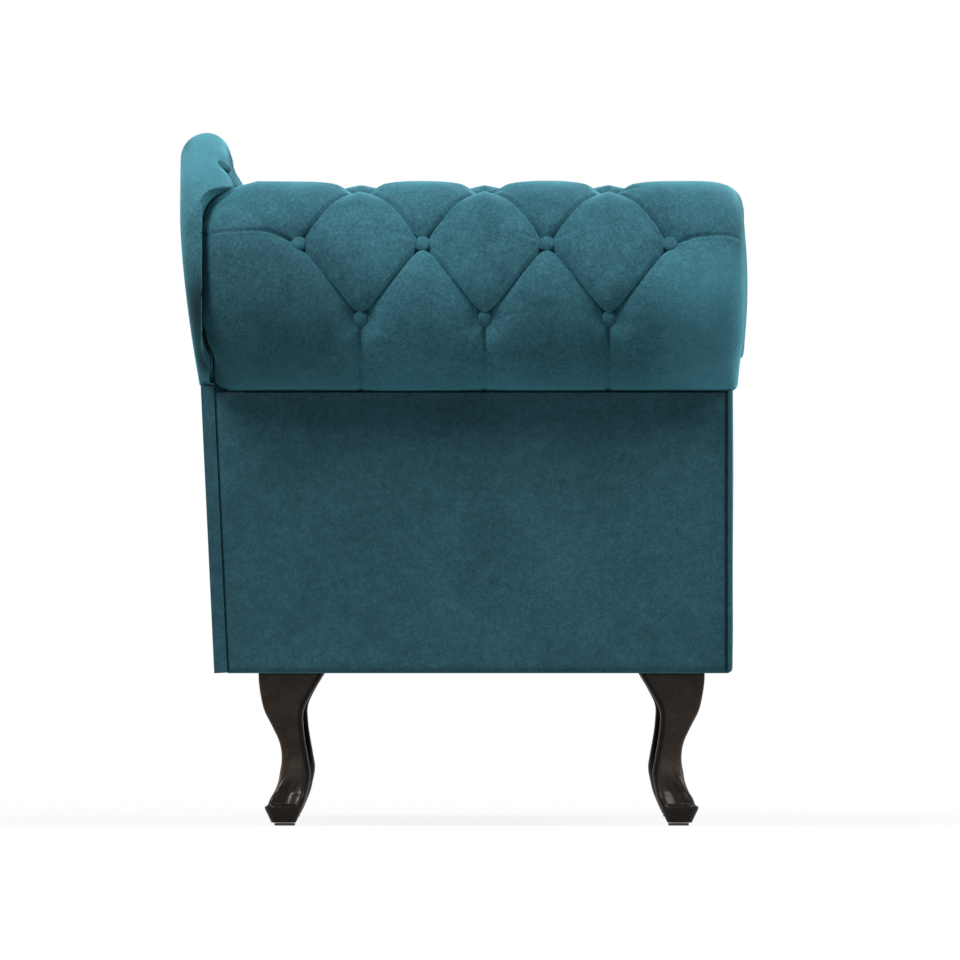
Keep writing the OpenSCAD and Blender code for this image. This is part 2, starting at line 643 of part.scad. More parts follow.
module seat_cushion() {
    e = cushion_edge_r;
    head = [for (s = cushion_end_shares) [cushion_x0 + e * s[0], e * (1 - s[0]) * 0.5, s[1]]];
    foot = [for (i = [len(cushion_end_shares) - 1:-1:0]) let (s = cushion_end_shares[i])
        [foot_x - e * s[0], e * (1 - s[0]) * 0.5, s[1]]];
    middle = [for (i = [1:cushion_stations]) [mix(cushion_x0 + e, nose_x, i / (cushion_stations + 1)),
        0, 1]];
    notch = [for (i = [0:4]) [nose_x + fit + notch_r * i / 4, 0, 1]];
    beyond = [for (i = [1:3]) [mix(nose_x + fit + notch_r, foot_x - e, i / 4), 0, 1]];
    color(velvet) loft([for (s = concat(head, middle, notch, beyond, foot))
        cushion_loop(s[0], s[1], s[2], cushion_crown
            * sin(180 * clamp((s[0] - cushion_x0) / (foot_x - cushion_x0))))]);
}

// The back's top line: round the scroll, up to the peak, down the sweep and round the nose
roll_gap = 4;
scroll_line_r = roll_r - roll_gap;
scroll_start = -acos((roll_x - head_panel_x) / scroll_line_r);
scroll_end = 45;
peak_x = head_x + peak_from_head;
nose_x = foot_x - nose_from_foot;
function scroll_point(t) = [roll_x - scroll_line_r * cos(t), roll_z + scroll_line_r * sin(t)];
scroll_top = scroll_point(scroll_end);
climb = couch_height - scroll_top[1];
sweep_end = [nose_x - nose_r, nose_height];
sweep_len = sweep_end[0] - peak_x;
nose_foot = [nose_x, seat_base_z];
top_line = concat(
    [for (i = [0:20]) scroll_point(mix(scroll_start, scroll_end, i / 20))],
    [for (i = [1:20]) bezier([scroll_top, scroll_top + 0.65 * [climb, climb],
        [peak_x - 0.4 * (peak_x - scroll_top[0]), couch_height], [peak_x, couch_height]], i / 20)],
    [for (i = [1:60]) bezier([[peak_x, couch_height], [peak_x + 0.33 * sweep_len, couch_height],
        [sweep_end[0] - 0.39 * sweep_len, nose_height], sweep_end], i / 60)],
    [for (i = [1:10]) sweep_end + nose_r * [sin(9 * i), cos(9 * i) - 1]],
    [nose_foot]);
top_steps = [for (i = 1, s = 0; i <= len(top_line); s = s + (i < len(top_line) ?
    norm(top_line[i] - top_line[i - 1]) : 0), i = i + 1) s];
top_x = [for (i = [0:len(top_line) - 1]) [top_steps[i], top_line[i][0]]];
top_z = [for (i = [0:len(top_line) - 1]) [top_steps[i], top_line[i][1]]];
function top_at(s) = [lookup(s, top_x), lookup(s, top_z)];
peak_s = top_steps[40];
nose_s = top_steps[100];
top_len = top_steps[len(top_line) - 1];

// Foot of each section of the back: a row along the seat, drawn together into a fan under the
// scroll and another under the nose
rear_seam_z = leg_height + 0.532 * (couch_height - leg_height);
fan_s = mix(top_steps[20], peak_s, 0.72);
fan_step = 14;
function foot_at(s) = let (p = top_at(s), k = (fan_s - s) / fan_s, n = (s - nose_s) / (top_len - nose_s))
    k > 0 ? [top_at(fan_s)[0] - k * fan_step, rear_seam_z]
    : n > 0 ? [sweep_end[0] + n * fan_step, seat_base_z] : [p[0], seat_base_z];

// The rear face of the padding, by height
shoulder_z = couch_height - 100 / 624 * (couch_height - leg_height);
function pad_rear_y(z) = let (low = board_outer_y(z) + fit + flap_t,
    k = clamp((shoulder_z - z) / (shoulder_z - rear_seam_z)))
    max(low, mix(back_y, board_outer_y(rear_seam_z) + fit + flap_t, pow(k, 1.5)));

// One section of the back: the frame that its points are measured in
function back_frame(s) = let (top = top_at(s), foot = foot_at(s), h = norm(top - foot),
    dir = (top - foot) / h, low = clamp((couch_height - top[1]) / (couch_height - nose_height)),
    r = min(top_roll_t / 2 * (1 + 0.6 * low), 0.55 * h), ch = h - r,
    cy = pad_rear_y(foot[1] + ch * dir[1]) - r,
    lumbar = min(seat_top - 2 * cushion_crown - seat_base_z, 0.7 * ch))
    [foot, dir, h, r, ch, cy, lumbar];
// A point of the inner face, at a distance down from the crest, and how deep it lies
function back_point(s, t, depth) = let (f = back_frame(s), r = f[3], ch = f[4], cy = f[5],
    round = r * PI / 2, a = [cy - r, ch], b = [lumbar_y, f[6]], face = norm(b - a),
    d = (b - a) / face, k = clamp((t - round) / face))
    t <= round ? let (turn = t / r * 180 / PI)
        back_xyz(f, cy - (r - depth) * sin(turn), ch + (r - depth) * cos(turn))
    : t < round + face ? let (p = a + (t - round) * d
        + (back_bulge * sin(180 * k) - depth) * [d[1], -d[0]]) back_xyz(f, p[0], p[1])
    : back_xyz(f, lumbar_y + depth, max(0, f[6] - (t - round - face)));
function back_face_len(s) = let (f = back_frame(s))
    f[3] * PI / 2 + norm([lumbar_y - f[5] + f[3], f[6] - f[4]]) + f[6];
function back_xyz(f, y, h) = [f[0][0] + h * f[1][0], y, f[0][1] + h * f[1][1]];

// Buttons on the back, in rows that follow the top line
back_rows = 4;
back_row_start = row_pitch / 2 - over;
back_step = button_pitch / 4;
arm_s = lookup(arm_inner_x + fit, [for (i = [20:len(top_line) - 1]) [top_line[i][0], top_steps[i]]]);
back_first_s = arm_s + back_step;
back_buttons_at = [for (k = [0:back_rows - 1], m = [0:20]) let (
    s = back_first_s + (m + (k % 2) / 2) * button_pitch, t = back_row_start + k * row_pitch)
    if (s < nose_s - button_d && back_point(min(s, top_len), t, 0)[2] > seat_top + 1.4 * button_d)
        [s, t]];
back_seams = concat(
    [for (b = back_buttons_at, d = [-1, 1]) let (n = b + [d * half_pitch, row_pitch])
        if (nearest(n, back_buttons_at) < over) [b, n]],
    [for (b = back_buttons_at) if (b[1] < back_row_start + over) [b, b - [0, row_pitch]]],
    [for (b = back_buttons_at) if (nearest(b + [half_pitch, row_pitch], back_buttons_at) > over
        && nearest(b + [-half_pitch, row_pitch], back_buttons_at) > over)
        [b, b + [0, 3 * row_pitch]]],
    [for (b = back_buttons_at) if (b[0] < back_first_s + half_pitch + over
        && nearest(b - [button_pitch, 0], back_buttons_at) > over) [b, b - [button_pitch, 0]]]);
nose_turn_share = 0.93;
back_stations = concat([for (i = [0:floor((nose_s - fit - arm_s) / back_step)]) arm_s + i * back_step],
    [for (i = [0:9]) mix(nose_s, top_len, nose_turn_share * i / 9)]);
back_lines = 10;
back_squeeze = 3;
back_swell = 2;
function back_loop(s) = let (f = back_frame(s), len = back_face_len(s), foot = f[0], dir = f[1],
    h_board = f[2] - board_cover,
    h_seam = max(flap_t, min((rear_seam_z - foot[1]) / max(dir[1], 0.3), h_board - 10 * flap_t)),
    z_seam = foot[1] + h_seam * dir[1])
    concat(
        [back_xyz(f, lumbar_y, 0), back_xyz(f, board_inner_y(foot[1]) - fit, 0)],
        [back_xyz(f, board_inner_y(foot[1] + h_board * dir[1]) - fit, h_board)],
        [back_xyz(f, board_outer_y(foot[1] + h_board * dir[1]) + fit, h_board)],
        [back_xyz(f, board_outer_y(z_seam) + fit, h_seam), back_xyz(f, pad_rear_y(z_seam), h_seam)],
        [for (k = [1:3]) let (h = mix(h_seam, f[4], k / 4)) back_xyz(f,
            pad_rear_y(foot[1] + h * dir[1]), h)],
        [for (k = [0:2]) let (t = 90 - 30 * k) back_xyz(f, f[5] + f[3] * sin(t), f[4] + f[3] * cos(t))],
        [for (j = [0:back_lines - 1]) let (
            t = j == 0 ? 0 : back_row_start + (j - 1) * row_pitch / 2,
            squeezed = min(t, len - (back_lines - j) * back_squeeze))
            back_point(s, squeezed, smooth((squeezed + button_d) / (3 * button_d))
                * quilt([s, squeezed], back_seams, back_buttons_at))
                + [0, s > nose_s ? back_swell * sin(180 * j / back_lines) : 0, 0]]);
module back_pad() {
    color(velvet) loft([for (s = back_stations) back_loop(s)], 0);
}

// The wing: the thinner padding behind the roll, from under the scroll up to the back pad
wing_front_y = back_y - roll_rear_inset + fit;
wing_count = 15;
wing_stations = [for (i = [0:wing_count]) (arm_s - 2 * fit) * i / wing_count];
function wing_loop(s) = let (f = back_frame(s), foot = f[0], dir = f[1],
    h_board = f[2] - board_cover, h_edge = f[4],
    h_seam = max(flap_t, min((rear_seam_z - foot[1]) / max(dir[1], 0.3), h_board - 10 * flap_t)),
    z_seam = foot[1] + h_seam * dir[1], z_board = foot[1] + h_board * dir[1])
    concat(
        [back_xyz(f, wing_front_y, h_board), back_xyz(f, board_outer_y(z_board) + fit, h_board)],
        [back_xyz(f, board_outer_y(z_seam) + fit, h_seam), back_xyz(f, pad_rear_y(z_seam), h_seam)],
        [for (k = [1:3]) let (h = mix(h_seam, h_edge, k / 4)) back_xyz(f,
            pad_rear_y(foot[1] + h * dir[1]), h)],
        [for (k = [0:6]) let (t = 15 * k) back_xyz(f,
            mix(wing_front_y, pad_rear_y(foot[1] + h_edge * dir[1]), cos(t)),
            mix(h_edge, f[2], sin(t)))]);
module back_wing() {
    color(velvet) loft([for (s = wing_stations) wing_loop(s)]);
}
module back_buttons() {
    d = over;
    depth = pit_depth - button_back - back_button_gap;
    color(velvet) for (b = back_buttons_at) let (
        p = back_point(b[0], b[1], depth),
        u = back_point(b[0], b[1], depth - d) - p,
        turn = atan2(norm([u[0], u[1]]), u[2]), spin = atan2(u[1], u[0]))
        translate(p) rotate([0, turn, spin]) button();
}

// The back board, cut to the line that its padding leaves
board_edge = [for (s = concat(wing_stations, back_stations)) let (f = back_frame(s))
    f[0] + (f[2] - board_cover - fit) * f[1]];
back_bolts_x = [for (i = [0:back_bolt_count - 1]) mix(arm_board_x + back_bolt_inset,
    frame_foot_x - back_bolt_inset, i / (back_bolt_count - 1))];
module back_board() {
    stretch = 1 / cos(back_rake);
    top = rear_seam_z - fit - flap_t;
    outline = concat([[head_panel_x, top]], board_edge, [[board_edge[len(board_edge) - 1][0],
        base_top], [foot_x, base_top], [foot_x, leg_height], [head_panel_x, leg_height]]);
    color(velvet) difference() {
        translate([0, board_foot_y, leg_height]) rotate([-back_rake, 0, 0])
            along_y(-back_board_t, 0)
            polygon([for (p = outline) [p[0], (p[1] - leg_height) * stretch]]);
        for (x = back_bolts_x) rod_y([x, frame_bottom + back_bolt_h], rear_rail_y,
            rear_rail_y + rail_t + fit + board_bolt_reach + fit, bolt_d + 2 * bolt_play);
    }
}

// Bolts, tee nuts and glides
module leg_bolts() {
    z0 = leg_height - leg_bolt_depth;
    color(steel) for (at = leg_axes) rod_z(at, z0, frame_bottom + block_h + tee_flange_t, bolt_d);
}
module leg_tee_nuts() {
    top = frame_bottom + block_h;
    color(steel) for (at = leg_axes) difference() {
        union() {
            rod_z(at, top, top + tee_flange_t, tee_flange_d);
            rod_z(at, top - tee_barrel_len, top + over, tee_barrel_d);
        }
        rod_z(at, top - tee_barrel_len - over, top + tee_flange_t + over, bolt_d + 2 * bolt_play);
    }
}
module leg_glides() {
    foot = (leg_shares[0][1] + leg_shares[0][2]) / 2 * leg_w;
    color(black_nylon) for (c = leg_corners)
        rod_z([c[0] + c[2] * foot, c[1] + c[3] * foot], 0, glide_t, glide_d);
}
module bolt_y(at, y, reach, side) {
    rod_y(at, min(y, y + side * reach), max(y, y + side * reach), bolt_d);
    rod_y(at, min(y, y - side * bolt_head_t), max(y, y - side * bolt_head_t), bolt_head_d);
}
module back_bolts() {
    color(steel) for (x = back_bolts_x) bolt_y([x, frame_bottom + back_bolt_h], rear_rail_y,
        rail_t + fit + board_bolt_reach, 1);
}
module arm_bolts() {
    reach = arm_board_t - bolt_head_t + rail_bolt_reach - over;
    color(steel) for (h = [arm_bolt_low, arm_bolt_high])
        let (at = [frame_head_x + rail_t / 2, frame_bottom + h]) {
        bolt_y(at, frame_front_y + bolt_head_t + fit, reach, 1);
        bolt_y(at, rear_board_y + arm_board_t - bolt_head_t - fit, reach, -1);
    }
}

front_rail();
rear_rail();
head_rail();
foot_rail();
stretchers();
corner_blocks();
seat_springs();
spring_clips();
spring_cover();
seat_cushion();
front_panel();
foot_panel();
head_panel();
back_board();
dust_cover();
arm_front_board();
arm_rear_board();
arm_slats();
arm_pad();
arm_buttons();
arm_facing();
back_pad();
back_wing();
back_buttons();
leg_head_front();
leg_head_rear();
leg_foot_front();
leg_foot_rear();
leg_bolts();
leg_tee_nuts();
leg_glides();
back_bolts();
arm_bolts();
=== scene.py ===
import math

import bmesh
import bpy
import numpy as np
from mathutils import Matrix, Vector
from mathutils.bvhtree import BVHTree


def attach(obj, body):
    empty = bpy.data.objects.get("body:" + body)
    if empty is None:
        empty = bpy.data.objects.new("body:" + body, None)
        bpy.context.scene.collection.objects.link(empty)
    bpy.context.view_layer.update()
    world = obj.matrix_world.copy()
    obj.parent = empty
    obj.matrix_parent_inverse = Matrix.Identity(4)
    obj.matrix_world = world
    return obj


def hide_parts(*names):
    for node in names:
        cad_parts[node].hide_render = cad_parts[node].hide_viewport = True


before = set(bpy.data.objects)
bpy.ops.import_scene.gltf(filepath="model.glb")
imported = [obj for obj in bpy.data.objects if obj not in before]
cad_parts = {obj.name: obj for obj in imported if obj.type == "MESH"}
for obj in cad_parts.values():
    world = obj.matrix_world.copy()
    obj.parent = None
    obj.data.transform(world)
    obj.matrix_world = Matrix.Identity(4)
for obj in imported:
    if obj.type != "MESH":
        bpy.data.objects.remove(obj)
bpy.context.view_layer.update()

# Fainting couch: lengths are in millimetres here, and every mesh is made in metres.
MM = 0.001

# Main sizes of the couch
FOOT_X = 800.0
FRONT_Y, BACK_Y = -327.5, 327.5
PEAK_Z = 800.0
LEG_H, BASE_TOP = 176.0, 330.0
BASE_FRONT_Y = -310.5
PANEL_X = -705.0
PANEL_T, FACING_T, FIT = 12.0, 6.5, 0.4
FRAME_FRONT_Y = BASE_FRONT_Y + FACING_T + FIT

# The arm roll
ROLL_R, ROLL_X, ROLL_Z = 122.0, -678.0, 622.0
ARM_PAD_T = 45.0
ARM_INNER_X = ROLL_X + ROLL_R
ROLL_ARC = ROLL_R * math.radians(270)
ARM_LEN = ROLL_ARC + ROLL_Z - BASE_TOP - 2 * FIT
FACING_R = 83.8
ROLL_REAR_Y = BACK_Y - 27.5
ROLL_FRONT_Y = -322.6

# The quilting: spacing of the buttons, and depths of pits and pleats
PITCH, ROW, ARM_ROW = 143.0, 86.0, 103.7
HALF = PITCH / 2
BUTTON_R = 10.0
ARM_BUTTON_IN, HIDDEN_BUTTON_IN = 17.4, 21.4
BACK_BUTTON_IN, END_BUTTON_IN = 16.4, 3.0
PIT, PLEAT = 25.0, 15.0
PUFF_REACH = HALF * ROW / math.hypot(HALF, ROW)
SEAM_DEPTH, SEAM_W, SEAM_LIP = 3.6, 1.8, 0.8
LIP_OFF, LIP_W = 4.4, 2
BUTTON_FOLDS, FOLD_W = 4, 2.2
# How far a button tightens the cloth, how wide its pit is and how wide a pleat opens
TIGHT_R, PIT_R, PLEAT_W = 46, 28, 30
FAR = 1e3
WAVES = 7

# The back
RAKE = math.radians(2.7)
BOARD_T, BOARD_FOOT_Y = 15.0, 288.0
BOARD_COVER = 50.0
SEAM_Z = LEG_H + 0.532 * (PEAK_Z - LEG_H)
LUMBAR_Y = BASE_FRONT_Y + 508.0
PEAK_X, NOSE_X, NOSE_Z, NOSE_R = -560.0, 520.0, 500.0, 70.0

# The seat cushion
CUSHION_Z, CUSHION_T, CROWN, SWELL, EDGE_R = BASE_TOP + FIT, 111.0, 9.0, 5.0, 16.0

# The legs: places of their outer corners and the way that each turns
LEG_W = 75.0
LEG_IN, LEG_REAR_IN = 33, 51
LEGS = {
    "leg_head_front": (PANEL_X + LEG_IN, BASE_FRONT_Y + LEG_IN, 1, 1),
    "leg_head_rear": (PANEL_X + LEG_IN, BOARD_FOOT_Y - LEG_REAR_IN, 1, -1),
    "leg_foot_front": (FOOT_X - LEG_IN, BASE_FRONT_Y + LEG_IN, -1, 1),
    "leg_foot_rear": (FOOT_X - LEG_IN, BOARD_FOOT_Y - LEG_REAR_IN, -1, -1),
}


# Shapes from numbers

def smooth(t):
    """Zero to one, with no slope at its ends."""
    t = np.clip(t, 0, 1)
    return t * t * (3 - 2 * t)


def mix(a, b, t):
    return a + (b - a) * t


def spline(points, count):
    """Points along a smooth curve through the given ones."""
    p = np.array(points, float)
    p = np.vstack([2 * p[0] - p[1], p, 2 * p[-1] - p[-2]])
    out = []
    for k in np.linspace(0, len(p) - 3, count):
        i = min(int(k), len(p) - 4)
        t = k - i
        a, b, c, d = p[i:i + 4]
        out.append(0.5 * (2 * b + (c - a) * t + (2 * a - 5 * b + 4 * c - d) * t * t
                          + (3 * b - a - 3 * c + d) * t ** 3))
    return np.array(out)


def bezier(a, b, c, d, count):
    t = np.linspace(0, 1, count)[:, None]
    a, b, c, d = (np.array(p, float) for p in (a, b, c, d))
    return (1 - t) ** 3 * a + 3 * (1 - t) ** 2 * t * b + 3 * (1 - t) * t * t * c + t ** 3 * d


def ripple(points, scale, seed):
    """Gentle pseudo-random waves over points, from -1 to 1: creases that no seam explains."""
    rng = np.random.default_rng(seed)
    p = np.asarray(points, float) / scale
    total = np.zeros(p.shape[:-1])
    for _ in range(WAVES):
        way = rng.normal(size=p.shape[-1])
        total += np.sin(p @ (way / np.linalg.norm(way) * rng.uniform(0.6, 1.7))
                        + rng.uniform(0, 2 * math.pi))
    return total / WAVES * 1.6


def add_object(name, data):
    piece = bpy.data.objects.new(name, data)
    bpy.context.collection.objects.link(piece)
    return piece


def to_mesh(name, verts, faces):
    """A new smooth object from points in millimetres, with its normals made to point out."""
    data = bpy.data.meshes.new(name)
    data.from_pydata([tuple(v) for v in np.asarray(verts, float) * MM], [], faces)
    bm = bmesh.new()
    bm.from_mesh(data)
    bmesh.ops.remove_doubles(bm, verts=bm.verts, dist=0.02 * MM)
    bmesh.ops.recalc_face_normals(bm, faces=bm.faces)
    bm.to_mesh(data)
    bm.free()
    data.shade_smooth()
    return add_object(name, data)


def shaped(piece):
    """The piece as its modifiers leave it."""
    return piece.evaluated_get(bpy.context.evaluated_depsgraph_get())


def settle(piece, modifier):
    """Makes the shape that the modifier gives the piece's own."""
    data = bpy.data.meshes.new_from_object(shaped(piece))
    piece.modifiers.remove(modifier)
    old, piece.data = piece.data, data
    bpy.data.meshes.remove(old)


def points_of(data):
    co = np.empty(len(data.vertices) * 3)
    data.vertices.foreach_get("co", co)
    return co.reshape(-1, 3)


def full_turn(count):
    return np.linspace(0, 2 * math.pi, count, endpoint=False)


def steps_along(line):
    """Distance from the start at each point of a line."""
    return np.concatenate([[0], np.cumsum(np.linalg.norm(np.diff(line, axis=0), axis=1))])


def loft(name, loops):
    """A closed solid through rings of points, with a face over each end."""
    loops = np.asarray(loops, float)
    rows, cols = loops.shape[:2]
    faces = []
    for r in range(rows - 1):
        for c in range(cols):
            d = (c + 1) % cols
            faces.append((r * cols + c, r * cols + d, (r + 1) * cols + d, (r + 1) * cols + c))
    faces.append(tuple(range(cols)))
    faces.append(tuple((rows - 1) * cols + c for c in range(cols)))
    return to_mesh(name, loops.reshape(-1, 3), faces)


CORD_SIDES = 10


def tube(name, path, radius):
    """A round cord along a closed path, whose own twist is kept small."""
    path = np.asarray(path, float)
    n = len(path)
    ahead = np.roll(path, -1, 0) - np.roll(path, 1, 0)
    ahead /= np.linalg.norm(ahead, axis=1)[:, None]
    side = np.cross(ahead[0], (0.31, 0.52, 0.79))
    angles = full_turn(CORD_SIDES)
    rings = []
    for i in range(n):
        side = side - ahead[i] * (side @ ahead[i])
        side /= np.linalg.norm(side)
        up = np.cross(ahead[i], side)
        rings.append(path[i] + radius * (np.cos(angles)[:, None] * side + np.sin(angles)[:, None] * up))
    # The last ring joins the first in the turn that brings their points closest
    gaps = [np.linalg.norm(np.roll(rings[0], -k, 0) - rings[-1], axis=1).sum() for k in range(CORD_SIDES)]
    faces = []
    for r in range(n):
        q, turn = (r + 1, 0) if r + 1 < n else (0, int(np.argmin(gaps)))
        for c in range(CORD_SIDES):
            d = (c + 1) % CORD_SIDES
            faces.append((r * CORD_SIDES + c, r * CORD_SIDES + d,
                          q * CORD_SIDES + (d + turn) % CORD_SIDES, q * CORD_SIDES + (c + turn) % CORD_SIDES))
    return to_mesh(name, np.vstack(rings), faces)


# Quilting

def to_segment(u, v, seam):
    (ua, va), (ub, vb) = seam
    du, dv = ub - ua, vb - va
    t = np.clip(((u - ua) * du + (v - va) * dv) / (du * du + dv * dv), 0, 1)
    return np.hypot(u - ua - t * du, v - va - t * dv)


def to_nearest(u, v, segments):
    near = np.full(u.shape, FAR)
    for segment in segments:
        near = np.minimum(near, to_segment(u, v, segment))
    return near


def quilt(u, v, seams, buttons, pleats):
    """Depth below the full padding at places along and across the rows of buttons.

    Seams are the sides of the diamonds, and pleats the flatter folds that run out of them.
    """
    near_seam, near_pleat = to_nearest(u, v, seams), to_nearest(u, v, pleats)
    near_button = np.full(u.shape, FAR)
    folds = np.zeros(u.shape)
    rng = np.random.default_rng(12)
    for bu, bv in buttons:
        d = np.hypot(u - bu, v - bv)
        around = np.arctan2(v - bv, u - bu)
        for _ in range(BUTTON_FOLDS):
            way, reach = rng.uniform(-math.pi, math.pi), rng.uniform(16, 30)
            deep = rng.uniform(0.6, 2.2)
            off = np.abs(np.angle(np.exp(1j * (around - way)))) * d
            folds += deep * np.exp(-(off / FOLD_W) ** 2) * np.exp(-((d - reach) / 10) ** 2)
        near_button = np.minimum(near_button, d)
    tight = np.exp(-(near_button / TIGHT_R) ** 2)
    puff = np.clip(1 - near_seam / PUFF_REACH, 0, 1)
    depth = PLEAT * (0.5 + 0.5 * tight) * puff ** 3
    depth += SEAM_DEPTH * np.exp(-(near_seam / SEAM_W) ** 2)
    depth -= SEAM_LIP * np.exp(-((near_seam - LIP_OFF) / LIP_W) ** 2)
    ply = np.clip(1 - near_pleat / PLEAT_W, 0, 1)
    pleated = (1.2 + 9.8 * tight) * ply ** 2.4 + (1.4 + 1.2 * tight) * np.exp(-(near_pleat / SEAM_W) ** 2)
    depth = np.maximum(depth, pleated - 0.6 * np.exp(-((near_pleat - LIP_OFF) / LIP_W) ** 2))
    depth += (PIT - PLEAT - 1) * np.clip(1 - near_button / PIT_R, 0, 1) ** 1.4
    return depth + folds * smooth(near_button / 12)


def meets(place, buttons):
    return min(math.dist(place, b) for b in buttons) < 1


ARM_ROWS, ARM_COLS, HIDDEN_ROW = 6, 3, 2
ARM_CENTRE_Y = BASE_FRONT_Y + 2 * PITCH + HALF * 0.007
# The third row lies just behind the crest, so that its pits hide its buttons
arm_rows_at = ROLL_R * math.radians(69) + ARM_ROW * np.arange(ARM_ROWS) + (0, 0, 15, 6, 0, 0)
arm_button_grid = [(c, r) for r in range(ARM_ROWS) for c in range(-ARM_COLS, ARM_COLS + 1)
                   if (r + c) % 2 == 0 and (r % 2 == 1 or abs(c) < ARM_COLS)]
arm_buttons_at = [(ARM_CENTRE_Y + c * HALF, arm_rows_at[r]) for c, r in arm_button_grid]


def arm_seams():
    """The diamonds, and the pleats that end the rows and run down from the first and the last."""
    seams, pleats = [], []
    for (c, r), (u, v) in zip(arm_button_grid, arm_buttons_at):
        for d in (-1, 1):
            if (c + d, r + 1) in arm_button_grid:
                seams.append(((u, v), (u + d * HALF, arm_rows_at[r + 1])))
            if d * c == ARM_COLS:
                rise = 11 if d > 0 else 5
                pleats.append(((u, v), (u + d * 34, v + rise)))
                pleats.append(((u + d * 34, v + rise), (u + d * PITCH, v + rise + 3)))
        if r == 0:
            pleats.append(((u, v), (u + 1.5, v - 3 * ARM_ROW)))
        if r == ARM_ROWS - 1:
            pleats.append(((u, v), (u, v + 3 * ARM_ROW)))
    return seams, pleats


def arm_angle(a):
    return np.minimum(a, ROLL_ARC) / ROLL_ARC * 270 - 90


def arm_point(a, inset):
    """Place round the arm's profile at an arc length, some way in from its full outline."""
    t = np.radians(arm_angle(a))
    r = ROLL_R - inset
    return ROLL_X - r * np.cos(t), ROLL_Z + r * np.sin(t) - np.maximum(0, a - ROLL_ARC)


def front_out(a):
    t = arm_angle(a)
    return mix(0.45, 1, smooth((t + 90) / 60)) * (1 - smooth((t - 90) / 80))


def board_outer_y(z):
    return BOARD_FOOT_Y + (z - LEG_H) * math.tan(RAKE)


def board_inner_y(z):
    return board_outer_y(z) - BOARD_T / math.cos(RAKE)


EDGE_POINTS, FLAT_POINTS = 26, 260
ROLL_RINGS, DROP_RINGS = 330, 150
FRONT_REACH, REAR_REACH = (15, 50), (20, 62)
REAR_EDGE = spline([(1, 0), (0.62, 0.15), (0.4, 0.27), (0.23, 0.4), (0.13, 0.54),
                    (0.055, 0.73), (0, 0.84), (0, 0.96)], 30)


def arm_rear(a):
    """Where the roll ends at the back, and how long its rounding is there."""
    t, z = arm_angle(a), arm_point(a, 0.0)[1]
    beside_board = np.where(t < 0, smooth((-38 - t) / 30), smooth((t - 84) / 40))
    y = mix(ROLL_REAR_Y, board_inner_y(z) - 2 * FIT, beside_board)
    return mix(ROLL_REAR_Y - 12, y, smooth(a / 60)), mix(*REAR_REACH, smooth((a - 20) / 90))


def make_arm_pad():
    """The roll's padding, from under the roll over its crest and down to the seat."""
    front_edge = spline([(0, 0.96), (0, 0.84), (0, 0.73), (0.05, 0.49), (0.15, 0.29), (0.36, 0.12),
                         (0.66, 0.03), (1, 0)], EDGE_POINTS)
    seams, pleats = arm_seams()
    loops = []
    rows = np.concatenate([np.linspace(0, ROLL_ARC, ROLL_RINGS),
                           np.linspace(ROLL_ARC, ARM_LEN, DROP_RINGS)[1:]])
    for a in rows:
        y0 = mix(BASE_FRONT_Y + FIT, ROLL_FRONT_Y, front_out(a))
        y1, rear_reach = arm_rear(a)
        front_reach = mix(*FRONT_REACH, smooth((a - 20) / 90))
        y = np.concatenate([y0 + front_edge[:, 0] * front_reach,
                            np.linspace(y0 + front_reach + 2, y1 - rear_reach - 2, FLAT_POINTS),
                            y1 - REAR_EDGE[:, 0] * rear_reach])
        turned = np.concatenate([front_edge[:, 1], np.zeros(FLAT_POINTS), REAR_EDGE[:, 1]])
        turned *= mix(0.3, 1, smooth((a - 4) / 70))
        turned[EDGE_POINTS + FLAT_POINTS:] *= mix(0.55, 1, smooth((abs(arm_angle(a) - 12) - 24) / 24))
        along = np.full(y.shape, a)
        depth = quilt(y, along, seams, arm_buttons_at, pleats)
        depth += 0.6 * ripple(np.stack([y, along], -1), 34, 3)
        depth *= mix(0.25, 1, smooth((a - 3) / 26))
        inset = turned * ARM_PAD_T + (1 - turned) * (depth + 0.3 + 1.6 * (1 - smooth(a / 5)))
        y[:3] = mix(FRAME_FRONT_Y, y[:3], np.array([0, 0.2, 0.7]))
        x, z = arm_point(a, inset)
        loops.append(np.stack([x, y, z], -1))
    return loft("arm_padding", loops)


# The back

SEAT_TOP = CUSHION_Z + CUSHION_T + CROWN
SHOULDER_Z = 700.0
TOP_ROLL_R = 30.0
BACK_BULGE = 8
BACK_POINTS = 200
FLAP_T = 1.2
ROW_START = ROW / 2 - 1
SCROLL_STEPS, RISE_STEPS, SWEEP_STEPS = 80, 60, 240


